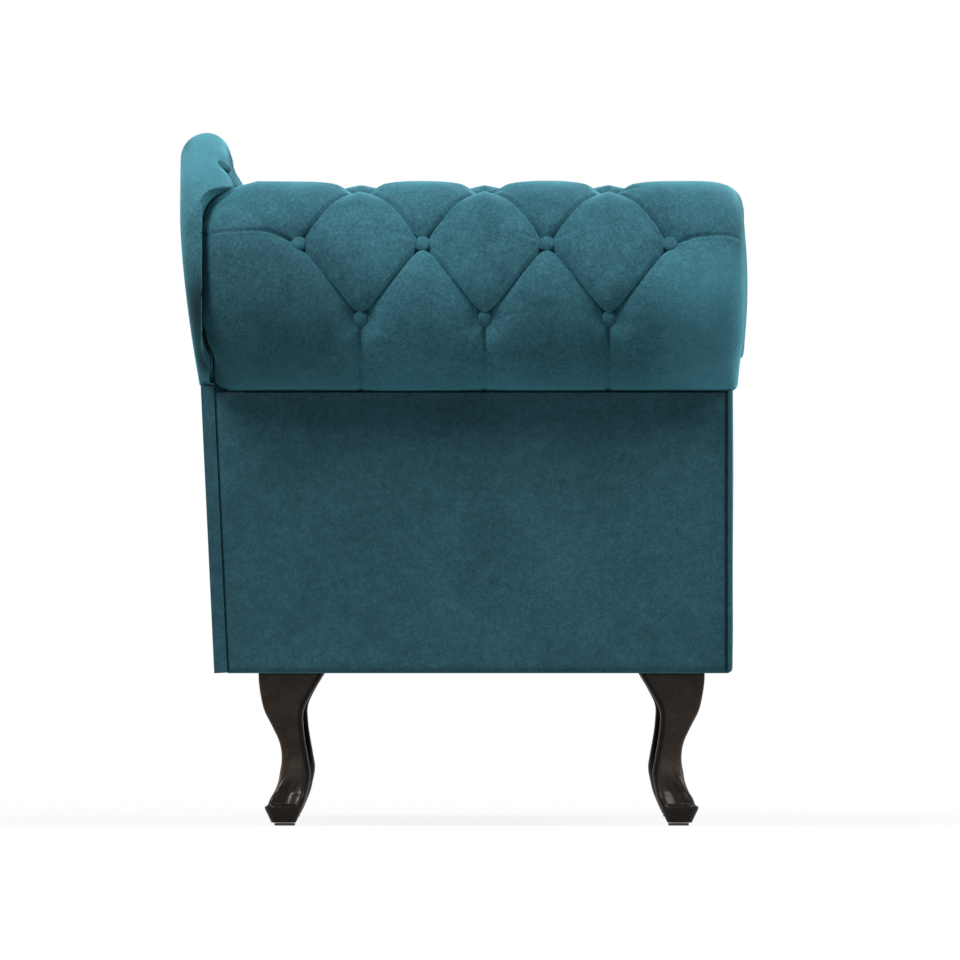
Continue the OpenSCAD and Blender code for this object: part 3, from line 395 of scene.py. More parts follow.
def make_top_line():
    """Round the scroll, up to the peak, down the sweep and round the nose."""
    r = ROLL_R - 4
    t = np.radians(np.linspace(-math.degrees(math.acos((ROLL_X - PANEL_X) / r)), 45, SCROLL_STEPS + 1))
    scroll = np.stack([ROLL_X - r * np.cos(t), ROLL_Z + r * np.sin(t)], 1)
    climb = PEAK_Z - scroll[-1][1]
    peak = np.array((PEAK_X, PEAK_Z))
    end = np.array((NOSE_X - NOSE_R, NOSE_Z))
    run = end[0] - PEAK_X
    rise = bezier(scroll[-1], scroll[-1] + 0.65 * climb,
                  (PEAK_X - 0.4 * (PEAK_X - scroll[-1][0]), PEAK_Z), peak, RISE_STEPS + 1)
    sweep = bezier(peak, peak + (0.33 * run, 0), end - (0.39 * run, 0), end, SWEEP_STEPS + 1)
    a = np.radians(np.linspace(0, 90, 41))
    nose = end + NOSE_R * np.stack([np.sin(a), np.cos(a) - 1], 1)
    line = np.vstack([scroll, rise[1:], sweep[1:], nose[1:], [(NOSE_X, CUSHION_Z)]])
    steps = steps_along(line)
    ends = np.cumsum((SCROLL_STEPS, RISE_STEPS, SWEEP_STEPS))
    return line, steps, [*steps[ends], steps[-1]]


top_line, top_steps, (SCROLL_S, PEAK_S, NOSE_S, TOP_LEN) = make_top_line()
FAN_S = mix(SCROLL_S, PEAK_S, 0.72)
rising = slice(SCROLL_STEPS, SCROLL_STEPS + RISE_STEPS + SWEEP_STEPS // 2)
ARM_S = float(np.interp(ARM_INNER_X + FIT, top_line[rising, 0], top_steps[rising]))
BACK_FIRST_S = ARM_S + PITCH / 4


def top_at(s):
    return np.array((np.interp(s, top_steps, top_line[:, 0]), np.interp(s, top_steps, top_line[:, 1])))


def foot_at(s):
    k, n = (FAN_S - s) / FAN_S, (s - NOSE_S) / (TOP_LEN - NOSE_S)
    if k > 0:
        return np.array((top_at(FAN_S)[0] - k * 14, SEAM_Z))
    if n > 0:
        return np.array((NOSE_X - NOSE_R + n * 14, CUSHION_Z))
    return np.array((top_at(s)[0], CUSHION_Z))


def pad_rear_y(z):
    low = board_outer_y(z) + FIT + FLAP_T
    k = np.clip((SHOULDER_Z - z) / (SHOULDER_Z - SEAM_Z), 0, 1)
    full = mix(BACK_Y, board_outer_y(SEAM_Z) + FIT + FLAP_T, k ** 1.5)
    return np.where(z < SEAM_Z, low, np.maximum(low, full))


class Section:
    """One upright section of the back, and the frame that its points are measured in."""

    def __init__(self, s):
        top, self.foot = top_at(s), foot_at(s)
        self.h = float(np.linalg.norm(top - self.foot))
        self.way = (top - self.foot) / self.h
        low = np.clip((PEAK_Z - top[1]) / (PEAK_Z - NOSE_Z), 0, 1)
        self.r = min(TOP_ROLL_R * (1 + 0.6 * low), 0.55 * self.h)
        self.ch = self.h - self.r
        self.cy = float(pad_rear_y(self.foot[1] + self.ch * self.way[1])) - self.r
        self.lumbar = min(SEAT_TOP - 2 * CROWN - CUSHION_Z, 0.7 * self.ch)
        self.top = np.array((self.cy - self.r, self.ch))
        down = np.array((LUMBAR_Y, self.lumbar)) - self.top
        self.face = float(np.linalg.norm(down))
        self.down = down / self.face
        self.turn = self.r * math.pi / 2
        self.len = self.turn + self.face + self.lumbar

    def place(self, y, h):
        return np.stack([self.foot[0] + h * self.way[0], y + 0 * h, self.foot[1] + h * self.way[1]], -1)

    def front(self, t, depth):
        """Points of the inner face, at distances down from the crest, and how deep they lie."""
        turn = np.minimum(t / self.r, math.pi / 2)
        on_roll, on_seat = t <= self.turn, t >= self.turn + self.face
        k = np.clip((t - self.turn) / self.face, 0, 1)
        out = BACK_BULGE * np.sin(math.pi * k) - depth
        y = self.top[0] + (t - self.turn) * self.down[0] + out * self.down[1]
        h = self.top[1] + (t - self.turn) * self.down[1] - out * self.down[0]
        y = np.where(on_roll, self.cy - (self.r - depth) * np.sin(turn), y)
        h = np.where(on_roll, self.ch + (self.r - depth) * np.cos(turn), h)
        y = np.where(on_seat, LUMBAR_Y + depth, y)
        h = np.where(on_seat, np.maximum(0, self.lumbar - (t - self.turn - self.face)), h)
        return self.place(y, h)


def back_spot(s, t, depth=0.0):
    return Section(s).front(np.array([t]), np.array([depth]))[0]


def find_back_buttons():
    places = []
    for k in range(4):
        for m in range(21):
            s, t = BACK_FIRST_S + (m + (k % 2) / 2) * PITCH, ROW_START + k * ROW
            if s < NOSE_S - 2 * BUTTON_R:
                if back_spot(s, t)[2] > SEAT_TOP + 2.8 * BUTTON_R:
                    places.append((s, t))
    return places


back_buttons_at = find_back_buttons()
# The head end of the back has a button of its own, over the roll
END_T, END_Z = 23.5, 760.0
END_BUTTON = min(((s, END_T) for s in np.linspace(SCROLL_S, PEAK_S, 200)),
                 key=lambda b: abs(back_spot(*b, 4.0)[2] - END_Z))


def puff_share(s):
    """How much of the full depth the quilting has: the end face over the roll is nearly plain."""
    return mix(0.42, 1, smooth((s - PEAK_S) / 36))


def back_seams():
    seams, pleats = [], []
    for s, t in back_buttons_at:
        ends = [(s + d * HALF, t + ROW) for d in (-1, 1)]
        seams += [((s, t), e) for e in ends if meets(e, back_buttons_at)]
        if t < ROW_START + 1:
            pleats.append(((s, t), (s, t - ROW)))
        if not any(meets(e, back_buttons_at) for e in ends):
            pleats.append(((s, t), (s, t + 3 * ROW)))
        if s < BACK_FIRST_S + HALF + 1 and not meets((s - PITCH, t), back_buttons_at):
            pleats.append(((s, t), (s - PITCH, t)))
    for along, down in ((4, 60), (-9, 48), (16, 52)):
        pleats.append((END_BUTTON, (END_BUTTON[0] + along, END_BUTTON[1] + down)))
    return seams, pleats


def clear_of_arm(p):
    """Moves points that would lie in the arm's roll back past its rounded end or the board behind it."""
    x, z = p[:, 0], p[:, 2]
    off = np.where(z > ROLL_Z, np.hypot(x - ROLL_X, z - ROLL_Z) - ROLL_R - FIT,
                   np.where(x > ROLL_X, x - ARM_INNER_X - FIT, np.hypot(x - ROLL_X, z - ROLL_Z) - ROLL_R))
    within = 1 - smooth((off - 0.4) / 7)
    angle = np.degrees(np.arctan2(z - ROLL_Z, ROLL_X - x))
    a = np.where((x > ROLL_X) & (z < ROLL_Z), ROLL_ARC + ROLL_Z - z, ROLL_R * np.radians(angle + 90))
    end, reach = arm_rear(np.clip(a, 70, ARM_LEN))
    order = np.argsort(REAR_EDGE[:, 1])
    start = np.interp(-off / ARM_PAD_T, REAR_EDGE[order, 1], REAR_EDGE[order, 0]) * smooth((angle - 58) / 26)
    behind = np.where(z < SEAM_Z + 2, board_inner_y(z) - 2 * FIT, end - start * reach + 1.5)
    p[:, 1] = mix(p[:, 1], np.maximum(p[:, 1], behind), within)
    return p


def back_stations():
    return np.concatenate([np.linspace(2, SCROLL_S, 60), np.linspace(SCROLL_S, ARM_S - 3, 90)[1:],
                           np.linspace(ARM_S - 2, ARM_S + 13, 14), np.arange(ARM_S + 15, NOSE_S - 2, 2.4),
                           np.linspace(NOSE_S, mix(NOSE_S, TOP_LEN, 0.93), 50)])


def make_back_pad():
    """The padding of the back, from the seat over its top roll and down to the seam behind."""
    seams, pleats = back_seams()
    buttons = back_buttons_at + [END_BUTTON]
    loops = []
    for s in back_stations():
        f = Section(s)
        h_board = f.h - BOARD_COVER
        h_seam = max(FLAP_T, min((SEAM_Z - f.foot[1]) / max(f.way[1], 0.3), h_board - 10 * FLAP_T))
        z_board, z_seam = f.foot[1] + h_board * f.way[1], f.foot[1] + h_seam * f.way[1]
        inner = [(LUMBAR_Y, 0), (board_inner_y(f.foot[1]) - FIT, 0), (board_inner_y(z_board) - FIT, h_board),
                 (board_outer_y(z_board) + FIT, h_board), (board_outer_y(z_seam) + FIT, h_seam)]
        inner = np.array(inner, float)
        h = np.concatenate([h_seam + np.array([0, 1, 3, 7, 12]) * min(1, (f.ch - h_seam) / 40),
                            np.linspace(min(h_seam + 20, mix(h_seam, f.ch, 0.5)), f.ch, 26)])
        rear_y = pad_rear_y(f.foot[1] + h * f.way[1])
        rear_y[:4] -= np.array([3.2, 1.6, 0.7, 0.2])
        t = np.linspace(math.pi / 2, 0, 14)[1:-1]
        roll_y, roll_h = f.cy + f.r * np.sin(t), f.ch + f.r * np.cos(t)
        t = np.linspace(0, f.len, BACK_POINTS)[:-1]
        u = np.full(t.shape, s)
        depth = smooth((t + 20) / 60) * quilt(u, t, seams, buttons, pleats)
        depth *= puff_share(s)
        depth += 0.8 * ripple(np.stack([u, t], -1), 24, 5) * smooth(t / 40)
        front = f.front(t, depth)
        front[:, 1] += 2 * np.sin(math.pi * t / f.len)
        fall = smooth((h - h_seam) / 60)
        rear = f.place(rear_y - 1.2 * (0.5 + 0.5 * ripple(np.stack([h, 0 * h + s], -1), 60, 8)) * fall, h)
        loop = np.vstack([f.place(inner[:, 0], inner[:, 1]), rear, f.place(roll_y, roll_h), front])
        if s < ARM_S + 14:
            loop[5:] = clear_of_arm(loop[5:])
        loops.append(loop)
    return loft("back_padding", loops)


# The seat cushion

CUSHION_X0, CUSHION_X1 = ARM_INNER_X + FIT, FOOT_X - SWELL
NOTCH_R = EDGE_R + SWELL
WELT_R = 3.6


def cushion_rear(x):
    return mix(LUMBAR_Y - SWELL - FIT, board_outer_y(BASE_TOP) - SWELL, smooth((x - NOSE_X - FIT) / NOTCH_R))


def cushion_outline(inset, step):
    """The cushion's plan as a closed ring of places, anticlockwise from above."""
    x0, x1 = CUSHION_X0 + inset, CUSHION_X1 - inset
    r = 22 - min(inset, 8)
    front = BASE_FRONT_Y + SWELL + inset
    notch_x = NOSE_X + 2 + inset
    near, far = LUMBAR_Y - SWELL - FIT - inset, board_outer_y(BASE_TOP) - SWELL - inset
    corners = [(x0, front, r), (x1, front, r), (x1, far, r),
               (notch_x, far, r), (notch_x, near, 5), (x0, near, r)]
    ring = []
    for i, (cx, cy, cr) in enumerate(corners):
        before, after = np.array(corners[i - 1][:2]), np.array(corners[(i + 1) % 6][:2])
        at = np.array((cx, cy))
        a, b = (before - at) / np.linalg.norm(before - at), (after - at) / np.linalg.norm(after - at)
        for t in np.linspace(0, 1, 9):
            ring.append(at + a * cr * (1 - t) ** 2 + b * cr * t ** 2)
    ring = np.array(ring)
    ring = np.vstack([ring, ring[:1]])
    steps = steps_along(ring)
    s = np.linspace(0, steps[-1], int(steps[-1] / step), endpoint=False)
    ring = np.stack([np.interp(s, steps, ring[:, 0]), np.interp(s, steps, ring[:, 1])], 1)
    draw = 4 * np.sin(math.pi * np.clip((ring[:, 0] - CUSHION_X0) / (CUSHION_X1 - CUSHION_X0), 0, 1))
    ring[:, 1] += draw * (ring[:, 1] < 0) * smooth((-150 - ring[:, 1]) / 100)
    return ring


def cushion_crown(x, y):
    along = np.clip((x - CUSHION_X0) / (CUSHION_X1 - CUSHION_X0), 0, 1)
    across = np.clip((y - BASE_FRONT_Y) / (cushion_rear(x) - BASE_FRONT_Y), 0, 1)
    return CROWN * np.minimum(1, 2.2 * np.sin(math.pi * along)) * np.sin(math.pi * across)


def make_cushion_block(thin):
    """The cushion before it fills: boxed sides between two panels of cloth, slightly small."""
    r, step = EDGE_R - 5, 12.0
    low, high = CUSHION_Z + thin, CUSHION_Z + CUSHION_T - thin
    levels = [(low, r), (low, r * 0.3), (CUSHION_Z + r * 0.5, thin)]
    levels += [(CUSHION_Z + k * CUSHION_T, thin) for k in (0.3, 0.5, 0.7)]
    levels += [(high - r * 0.5, thin), (high, r * 0.3), (high, r)]
    n = len(cushion_outline(thin, step))
    rings = []
    for z, inset in levels:
        ring = cushion_outline(inset, step)
        s = np.linspace(0, len(ring), n, endpoint=False)
        at = np.arange(len(ring) + 1)
        ring = np.stack([np.interp(s, at, np.append(ring[:, k], ring[0, k])) for k in (0, 1)], 1)
        rings.append(np.column_stack([ring, np.full(n, z)]))
    return loft("seat_cushion_cloth", rings)


FILLING = {"use_pressure": True, "uniform_pressure_force": 4, "quality": 5, "mass": 0.3,
           "tension_stiffness": 22, "compression_stiffness": 22, "shear_stiffness": 6,
           "bending_stiffness": 0.4}
FILL_FRAMES = 20
# In metres: the cushion's even faces, quick and filled, and how far a point may move
QUICK_FACE, FILL_FACE, FILL_MOVE = 0.012, 0.011, 0.009
CLOTH_IN = 3.0


def fill_cushion(piece, cap):
    """Swells the cushion as cloth under pressure, with no point moving further than cap."""
    start = remesh(piece, FILL_FACE)
    cloth = piece.modifiers.new("fill", "CLOTH")
    for key, value in FILLING.items():
        setattr(cloth.settings, key, value)
    cloth.settings.effector_weights.gravity = 0
    cloth.collision_settings.use_collision = False
    cloth.point_cache.frame_start, cloth.point_cache.frame_end = 1, FILL_FRAMES
    for frame_number in range(1, FILL_FRAMES + 1):
        bpy.context.scene.frame_set(frame_number)
    now = points_of(shaped(piece).data)
    piece.modifiers.remove(cloth)
    bpy.context.scene.frame_set(1)
    move = now - start
    size = np.linalg.norm(move, axis=1)
    move *= np.minimum(1, cap / np.maximum(size, 1e-9))[:, None]
    return start + move


def remesh(piece, voxel):
    """Even small faces all over the piece, and the places of its points."""
    even = piece.modifiers.new("even", "REMESH")
    even.mode = "VOXEL"
    even.voxel_size = voxel
    settle(piece, even)
    return points_of(piece.data)


def make_cushion():
    """The seat cushion, filled by the cloth simulation and then set down on the deck."""
    piece = make_cushion_block(CLOTH_IN)
    mm = fill_cushion(piece, FILL_MOVE) / MM
    x, y, z = mm[:, 0], mm[:, 1], mm[:, 2]
    on_top = smooth((z - CUSHION_Z - 0.6 * CUSHION_T) / (0.3 * CUSHION_T))
    high = CUSHION_Z + CUSHION_T + cushion_crown(x, y)
    ring = cushion_outline(CLOTH_IN, 9.0)
    near = to_nearest(x, y, zip(ring, np.roll(ring, -1, 0)))
    lift = smooth(near / 46)
    z += on_top * (high - z) * lift * 0.8
    pucker = ripple(np.stack([x, y], -1), 15, 11) * np.exp(-((near - 15) / 11) ** 2)
    z += on_top * (0.9 * pucker + 1.3 * ripple(np.stack([x, y], -1), 130, 12) * lift)
    z[:] = np.clip(z, CUSHION_Z, SEAT_TOP + 3)
    x[:] = np.maximum(x, CUSHION_X0)
    y[:] = np.minimum(y, np.where(x < NOSE_X + 1, LUMBAR_Y - 0.2, FAR))
    piece.data.vertices.foreach_set("co", (mm * MM).ravel())
    finer = piece.modifiers.new("finer", "SUBSURF")
    finer.levels = finer.render_levels = 1
    settle(piece, finer)
    piece.data.shade_smooth()
    return piece


def make_cushion_welts(cushion):
    """The piping round the cushion's upper and lower edges, laid on the filled cloth."""
    tree = BVHTree.FromObject(cushion, bpy.context.evaluated_depsgraph_get())
    pieces = []
    for name, z, up in (("seat_welt_upper", CUSHION_Z + CUSHION_T - 5, 1),
                        ("seat_welt_lower", CUSHION_Z + 7, -1)):
        path = []
        for px, py in cushion_outline(2.0, 8.0):
            place, normal, _, _ = tree.find_nearest(Vector((px, py, z + 6 * up)) * MM)
            path.append(np.array(place + normal * 0.0016) / MM)
        path = np.array(path)
        for _ in range(3):
            path = 0.5 * path + 0.25 * (np.roll(path, 1, 0) + np.roll(path, -1, 0))
        path[:, 2] = np.maximum(path[:, 2], CUSHION_Z + WELT_R)
        path[:, 0] = np.maximum(path[:, 0], CUSHION_X0 + 3.5)
        path[:, 1] = np.minimum(path[:, 1], np.where(path[:, 0] < NOSE_X, LUMBAR_Y - WELT_R, FAR))
        pieces.append(tube(name, path, WELT_R))
    return pieces


# The facing of the arm, and the panels round the base

SLAB_POINTS = 70
SCROLL_EDGE_R = 6
NECK_IN = 16


def make_scroll():
    """The domed end of the roll, gathered round its rim."""
    back_y, rim_y = FRAME_FRONT_Y - FIT, FRONT_Y + 0.29 * 17
    e, flat_r = SCROLL_EDGE_R, FACING_R - SCROLL_EDGE_R
    profile = [(FACING_R, back_y), (FACING_R, rim_y + e)]
    profile += [(flat_r + e * math.cos(t), rim_y + e - e * math.sin(t))
                for t in np.linspace(0, math.pi / 2, 7)[1:]]
    profile += [(flat_r * s, mix(FRONT_Y, rim_y, s * s)) for s in np.linspace(1, 0.02, 30)[1:]]
    loops = []
    for r, y in profile:
        t = full_turn(144)
        gather = 0.5 * np.sin(36 * t + 1.3 * np.sin(5 * t)) * math.exp(-((r - 72) / 9) ** 2)
        soft = 0.5 * ripple(np.stack([r * np.cos(t), r * np.sin(t)], -1), 40, 21)
        dy = (gather + soft) * (1 if r < FACING_R - 1 else 0) + 0.6
        y = np.maximum(FRONT_Y, y + dy)
        loops.append(np.stack([ROLL_X + r * np.cos(t), y, ROLL_Z + r * np.sin(t)], -1))
    return loft("arm_scroll", loops)


def slab(name, us, ends, place, thick, rounds, seed, swell=1.2):
    """A thin upholstered panel: rows along u, each from ends(u)[0] to ends(u)[1], and thick deep.

    rounds are the roundings of its low u, high u, low v and high v edges.
    """
    loops = []
    for u in us:
        v0, v1 = ends(u)
        even = np.linspace(0, 1, SLAB_POINTS)
        v = mix(v0, v1, mix(0.5 - 0.5 * np.cos(np.linspace(0, math.pi, SLAB_POINTS)), even, 0.5))
        gaps = (u - us[0], us[-1] - u, v - v0, v1 - v)
        drop, near = np.zeros(SLAB_POINTS), np.full(SLAB_POINTS, FAR)
        for r, e in zip(rounds, gaps):
            e = e + np.zeros(SLAB_POINTS)
            near = np.minimum(near, e)
            if r:
                k = np.clip(1 - e / r, 0, 1)
                drop = np.maximum(drop, r - r * np.sqrt(1 - k * k))
        soft = 0.45 * ripple(np.stack([v, 0 * v + u], -1), 46, seed) * smooth(near / 20)
        soft = swell * smooth(near / 60) + soft
        d = np.maximum(0.3, thick - 1.0 - drop + soft)
        loops.append(np.vstack([place(u, v, d), place(u, v[::-1], 0 * v)]))
    return loft(name, loops)


def rows_between(a, b, r, count):
    """Places from a to b, closer together where the edges are rounded."""
    edge = r * (1 - np.cos(np.linspace(0, math.pi / 2, 7)))
    return np.concatenate([a + edge, np.linspace(a + r, b - r, count)[1:-1], (b - edge)[::-1]])


def make_panels():
    face_y = FRAME_FRONT_Y - FIT
    neck_x = ROLL_X - NECK_IN

    def facing_top(x):
        if x > neck_x:
            return ROLL_Z - 20
        return ROLL_Z - math.sqrt((ROLL_R + FIT) ** 2 - (x - ROLL_X) ** 2)

    def on_front(x, z, d):
        return np.stack([0 * z + x, face_y - d, z], -1)

    def on_end(x, out):
        return lambda z, y, d: np.stack([x + out * d, y, 0 * y + z], -1)

    post_x = ROLL_X + FACING_R
    rows = np.sort(np.append(rows_between(PANEL_X, post_x, 7, 16), (neck_x - 0.3, neck_x + 0.3)))
    post = slab("arm_facing_panel", rows, lambda x: (LEG_H, facing_top(x)), on_front,
                FACING_T, (6, 3, 6, 0), 31, 1.0)
    front = slab("base_front_panel", rows_between(post_x + FIT, FOOT_X - PANEL_T - FIT, 3, 180),
                 lambda x: (LEG_H, BASE_TOP), on_front, FACING_T, (3, 3, 6, 0), 32)
    foot = slab("base_foot_panel", rows_between(LEG_H, BASE_TOP, 5, 30),
                lambda z: (BASE_FRONT_Y, board_inner_y(z) - FIT), on_end(FOOT_X - PANEL_T, 1),
                PANEL_T, (8, 0, 8, 2), 33)
    head = slab("base_head_panel", rows_between(LEG_H, ROLL_Z - ROLL_R - FIT, 5, 76),
                lambda z: (FRAME_FRONT_Y, board_inner_y(z) - FIT), on_end(PANEL_X + PANEL_T, -1),
                PANEL_T, (8, 0, 3, 3), 34, 1.5)
    return {"arm_facing": post, "front_panel": front, "foot_panel": foot, "head_panel": head}


# The legs

# From the floor up: share of the height, then how far the outer and the inner faces stand in
# from the leg's outer corner, and the rounding of its corners, as shares of the width
LEG_PROFILE = np.array([
    (0.017, 0.2, 0.57, 0.3), (0.07, 0.14, 0.63, 0.32), (0.12, 0.092, 0.68, 0.34),
    (0.173, 0.122, 0.727, 0.34), (0.226, 0.2, 0.758, 0.34), (0.33, 0.307, 0.8, 0.36),
    (0.43, 0.353, 0.768, 0.38), (0.54, 0.323, 0.722, 0.36), (0.645, 0.215, 0.69, 0.3),
    (0.75, 0.092, 0.69, 0.24), (0.855, 0.031, 0.8, 0.17), (0.958, 0, 0.945, 0.12), (1, 0, 1, 0.1)])


def leg_curve(s, col):
    """A value of the leg's profile at a share of its height, smooth through the table."""
    t = LEG_PROFILE[:, 0]
    i = int(np.clip(np.searchsorted(t, s) - 1, 0, len(t) - 2))
    v = LEG_PROFILE[:, col]
    before, after = max(i - 1, 0), min(i + 2, len(t) - 1)
    w = t[i + 1] - t[i]
    k = min(max((s - t[i]) / w, 0), 1)
    m0 = (v[i + 1] - v[before]) / (t[i + 1] - t[before]) * w
    m1 = (v[after] - v[i]) / (t[after] - t[i]) * w
    return ((2 * k ** 3 - 3 * k * k + 1) * v[i] + (k ** 3 - 2 * k * k + k) * m0
            + (3 * k * k - 2 * k ** 3) * v[i + 1] + (k ** 3 - k * k) * m1)


SCOOP, SCOOP_FROM, SCOOP_TO = 10, 21.5, 66


def leg_ring(s):
    low, high = leg_curve(s, 1) * LEG_W, leg_curve(s, 2) * LEG_W
    w, z = high - low, s * LEG_H
    r = leg_curve(s, 3) * w * (1 - 0.35 * smooth((s - 0.3) / 0.3))
    scoop = SCOOP * float(smooth((z - SCOOP_FROM) / 4) * (1 - smooth((z - 28) / (SCOOP_TO - 28))))
    ring = []
    for k in range(4):
        side = np.array([(0, -1), (1, 0), (0, 1), (-1, 0)][k], float)
        along = np.array((-side[1], side[0]))
        flat = w / 2 - r
        for m in np.linspace(-1, 1, 9)[1:-1]:
            ring.append(side * w / 2 + along * flat * m)
        for t in np.radians(90 * k - 90 + np.linspace(0, 90, 13)):
            ring.append((side + along) * flat + r * np.array((math.cos(t), math.sin(t))))
    ring = np.array(ring)
    for side, along in (((0, -1), (1, 0)), ((-1, 0), (0, 1))):
        out, across = ring @ np.array(side, float) / (w / 2), ring @ np.array(along, float) / (w / 2)
        hollow = scoop * smooth((out - 0.2) / 0.5) * np.cos(math.pi / 2 * np.clip(across / 0.8, -1, 1)) ** 1.3
        ring = ring - hollow[:, None] * np.array(side, float)
    ring = ring + (low + high) / 2
    return np.column_stack([ring, np.full(len(ring), z)])


def make_leg(node):
    x, y, sx, sy = LEGS[node]
    shares = np.concatenate([np.linspace(0.0193, 0.4, 90), np.linspace(0.4, 1, 60)[1:]])
    rings = [leg_ring(s) * (sx, sy, 1) + (x, y, 0) for s in shares]
    low = rings[0]
    centre = low.mean(0)
    under = [mix(centre, low, k) for k in (0.55, 0.86)]
    return loft(node + "_turned", under + rings)


# Trees of nodes

class Wires:
    """Short ways to add nodes to one tree."""

    def __init__(self, tree):
        self.tree = tree

    def node(self, kind, **inputs):
        n = self.tree.nodes.new(kind)
        for key, value in inputs.items():
            self.feed(n.inputs[key.replace("_", " ")], value)
        return n

    def feed(self, socket, value):
        if hasattr(value, "is_output"):
            self.tree.links.new(value, socket)
        else:
            socket.default_value = value

    def sums(self, operation, a, b=0.0, c=0.0):
        n = self.tree.nodes.new("ShaderNodeMath")
        n.operation = operation
        for socket, value in zip(n.inputs, (a, b, c)):
            self.feed(socket, value)
        return n.outputs[0]

    def times(self, a, b):
        return self.sums("MULTIPLY", a, b)

    def place(self, turn=(0, 0, 0), stretch=(1, 1, 1)):
        """Object coordinates, turned and stretched."""
        source = self.tree.nodes.new("ShaderNodeTexCoord").outputs["Object"]
        n = self.tree.nodes.new("ShaderNodeMapping")
        n.inputs["Rotation"].default_value = turn
        n.inputs["Scale"].default_value = stretch
        self.tree.links.new(source, n.inputs["Vector"])
        return n.outputs["Vector"]

    def noise(self, vector, scale, detail, rough, warp=0.0):
        n = self.node("ShaderNodeTexNoise", Vector=vector, Scale=scale, Detail=detail, Roughness=rough,
                      Distortion=warp)
        return n.outputs["Fac"]

    def spread(self, value, low, high, to_low=0.0, to_high=1.0):
        n = self.node("ShaderNodeMapRange", Value=value)
        n.interpolation_type = "SMOOTHSTEP"
        for label, v in (("From Min", low), ("From Max", high), ("To Min", to_low), ("To Max", to_high)):
            self.feed(n.inputs[label], v)
        return n.outputs["Result"]

    def blend(self, share, a, b):
        n = self.tree.nodes.new("ShaderNodeMix")
        n.data_type = "RGBA"
        self.feed(n.inputs[0], share)
        self.feed(n.inputs[6], a)
        self.feed(n.inputs[7], b)
        return n.outputs[2]

    def tones(self, share, low, high, *over):
        """Between two colours, with others laid over them, each by its share."""
        base = self.blend(share, colour(*low), colour(*high))
        for cover, tone in over:
            base = self.blend(cover, base, colour(*tone))
        return base

    def bump(self, height, strength, distance):
        n = self.node("ShaderNodeBump", Height=height, Strength=strength, Distance=distance)
        return n.outputs["Normal"]

    def use(self, group, **values):
        n = self.tree.nodes.new("ShaderNodeGroup")
        n.node_tree = group
        for key, value in values.items():
            self.feed(n.inputs[key.replace("_", " ")], value)
        return n.outputs


def colour(*rgb):
    """An sRGB colour from 0 to 255 as the linear one that a socket takes."""
    line = [c / 255 for c in rgb]
    return tuple(c / 12.92 if c < 0.04045 else ((c + 0.055) / 1.055) ** 2.4 for c in line) + (1.0,)


def new_group(kind, name, inputs, outputs):
    """An empty group: its wires, the sockets that it starts from, and those that it ends in.

    An input has its kind or, if that is a float, its usual value.
    """
    tree = bpy.data.node_groups.new(name, kind)
    for label, value in inputs.items():
        plain = isinstance(value, (int, float))
        socket = tree.interface.new_socket(label, in_out="INPUT",
                                           socket_type="NodeSocket" + ("Float" if plain else value))
        if plain:
            socket.default_value = value
    for label, sort in outputs.items():
        tree.interface.new_socket(label, in_out="OUTPUT", socket_type="NodeSocket" + sort)
    return Wires(tree), tree.nodes.new("NodeGroupInput").outputs, tree.nodes.new("NodeGroupOutput").inputs


# Buttons, laid by Geometry Nodes

def make_button():
    """One covered button: a dome of cloth drawn in under its rim."""
    r = BUTTON_R - 0.7
    profile = [(0.4, -7), (3.2, -6.2), (6.4, -3.4), (r - 0.4, -1.2), (r, 0.2), (r - 0.5, 1.5), (r - 2, 2.9),
               (r - 4, 3.8), (r - 6.5, 4.3), (0.5, 4.5)]
    loops = []
    for i, (pr, ph) in enumerate(profile):
        t = full_turn(28)
        crease = 1 - 0.035 * np.cos(14 * t) * (1 if 1 < i < 6 else 0)
        loops.append(np.stack([pr * crease * np.cos(t), pr * crease * np.sin(t), 0 * t + ph], -1))
    return loft("button_pattern", loops)


def make_laying_tree():
    """Sets a copy of one piece at every point, facing along the point's own direction."""
    w, given, result = new_group("GeometryNodeTree", "lay_pieces", {
        "Places": "Geometry", "Piece": "Object", "Size": "Float", "Size spread": "Float",
        "Finish": "Material"}, {"Pieces": "Geometry"})
    way = w.node("GeometryNodeInputNamedAttribute", Name="facing")
    way.data_type = "FLOAT_VECTOR"
    turn = w.node("FunctionNodeAlignRotationToVector", Vector=way.outputs["Attribute"])
    turn.axis = "Z"
    info = w.node("GeometryNodeObjectInfo", Object=given["Piece"])
    info.transform_space = "ORIGINAL"
    vary = w.node("FunctionNodeRandomValue", Seed=4)
    vary.data_type = "FLOAT"
    for socket, operation in ((2, "SUBTRACT"), (3, "ADD")):
        w.feed(vary.inputs[socket], w.sums(operation, given["Size"], given["Size spread"]))
    laid = w.node("GeometryNodeInstanceOnPoints", Points=given["Places"], Instance=info.outputs["Geometry"],
                  Rotation=turn.outputs["Rotation"], Scale=vary.outputs[1])
    real = w.node("GeometryNodeRealizeInstances", Geometry=laid.outputs["Instances"])
    finish = w.node("GeometryNodeSetMaterial", Geometry=real.outputs["Geometry"], Material=given["Finish"])
    w.feed(result["Pieces"], finish.outputs["Geometry"])
    return w.tree


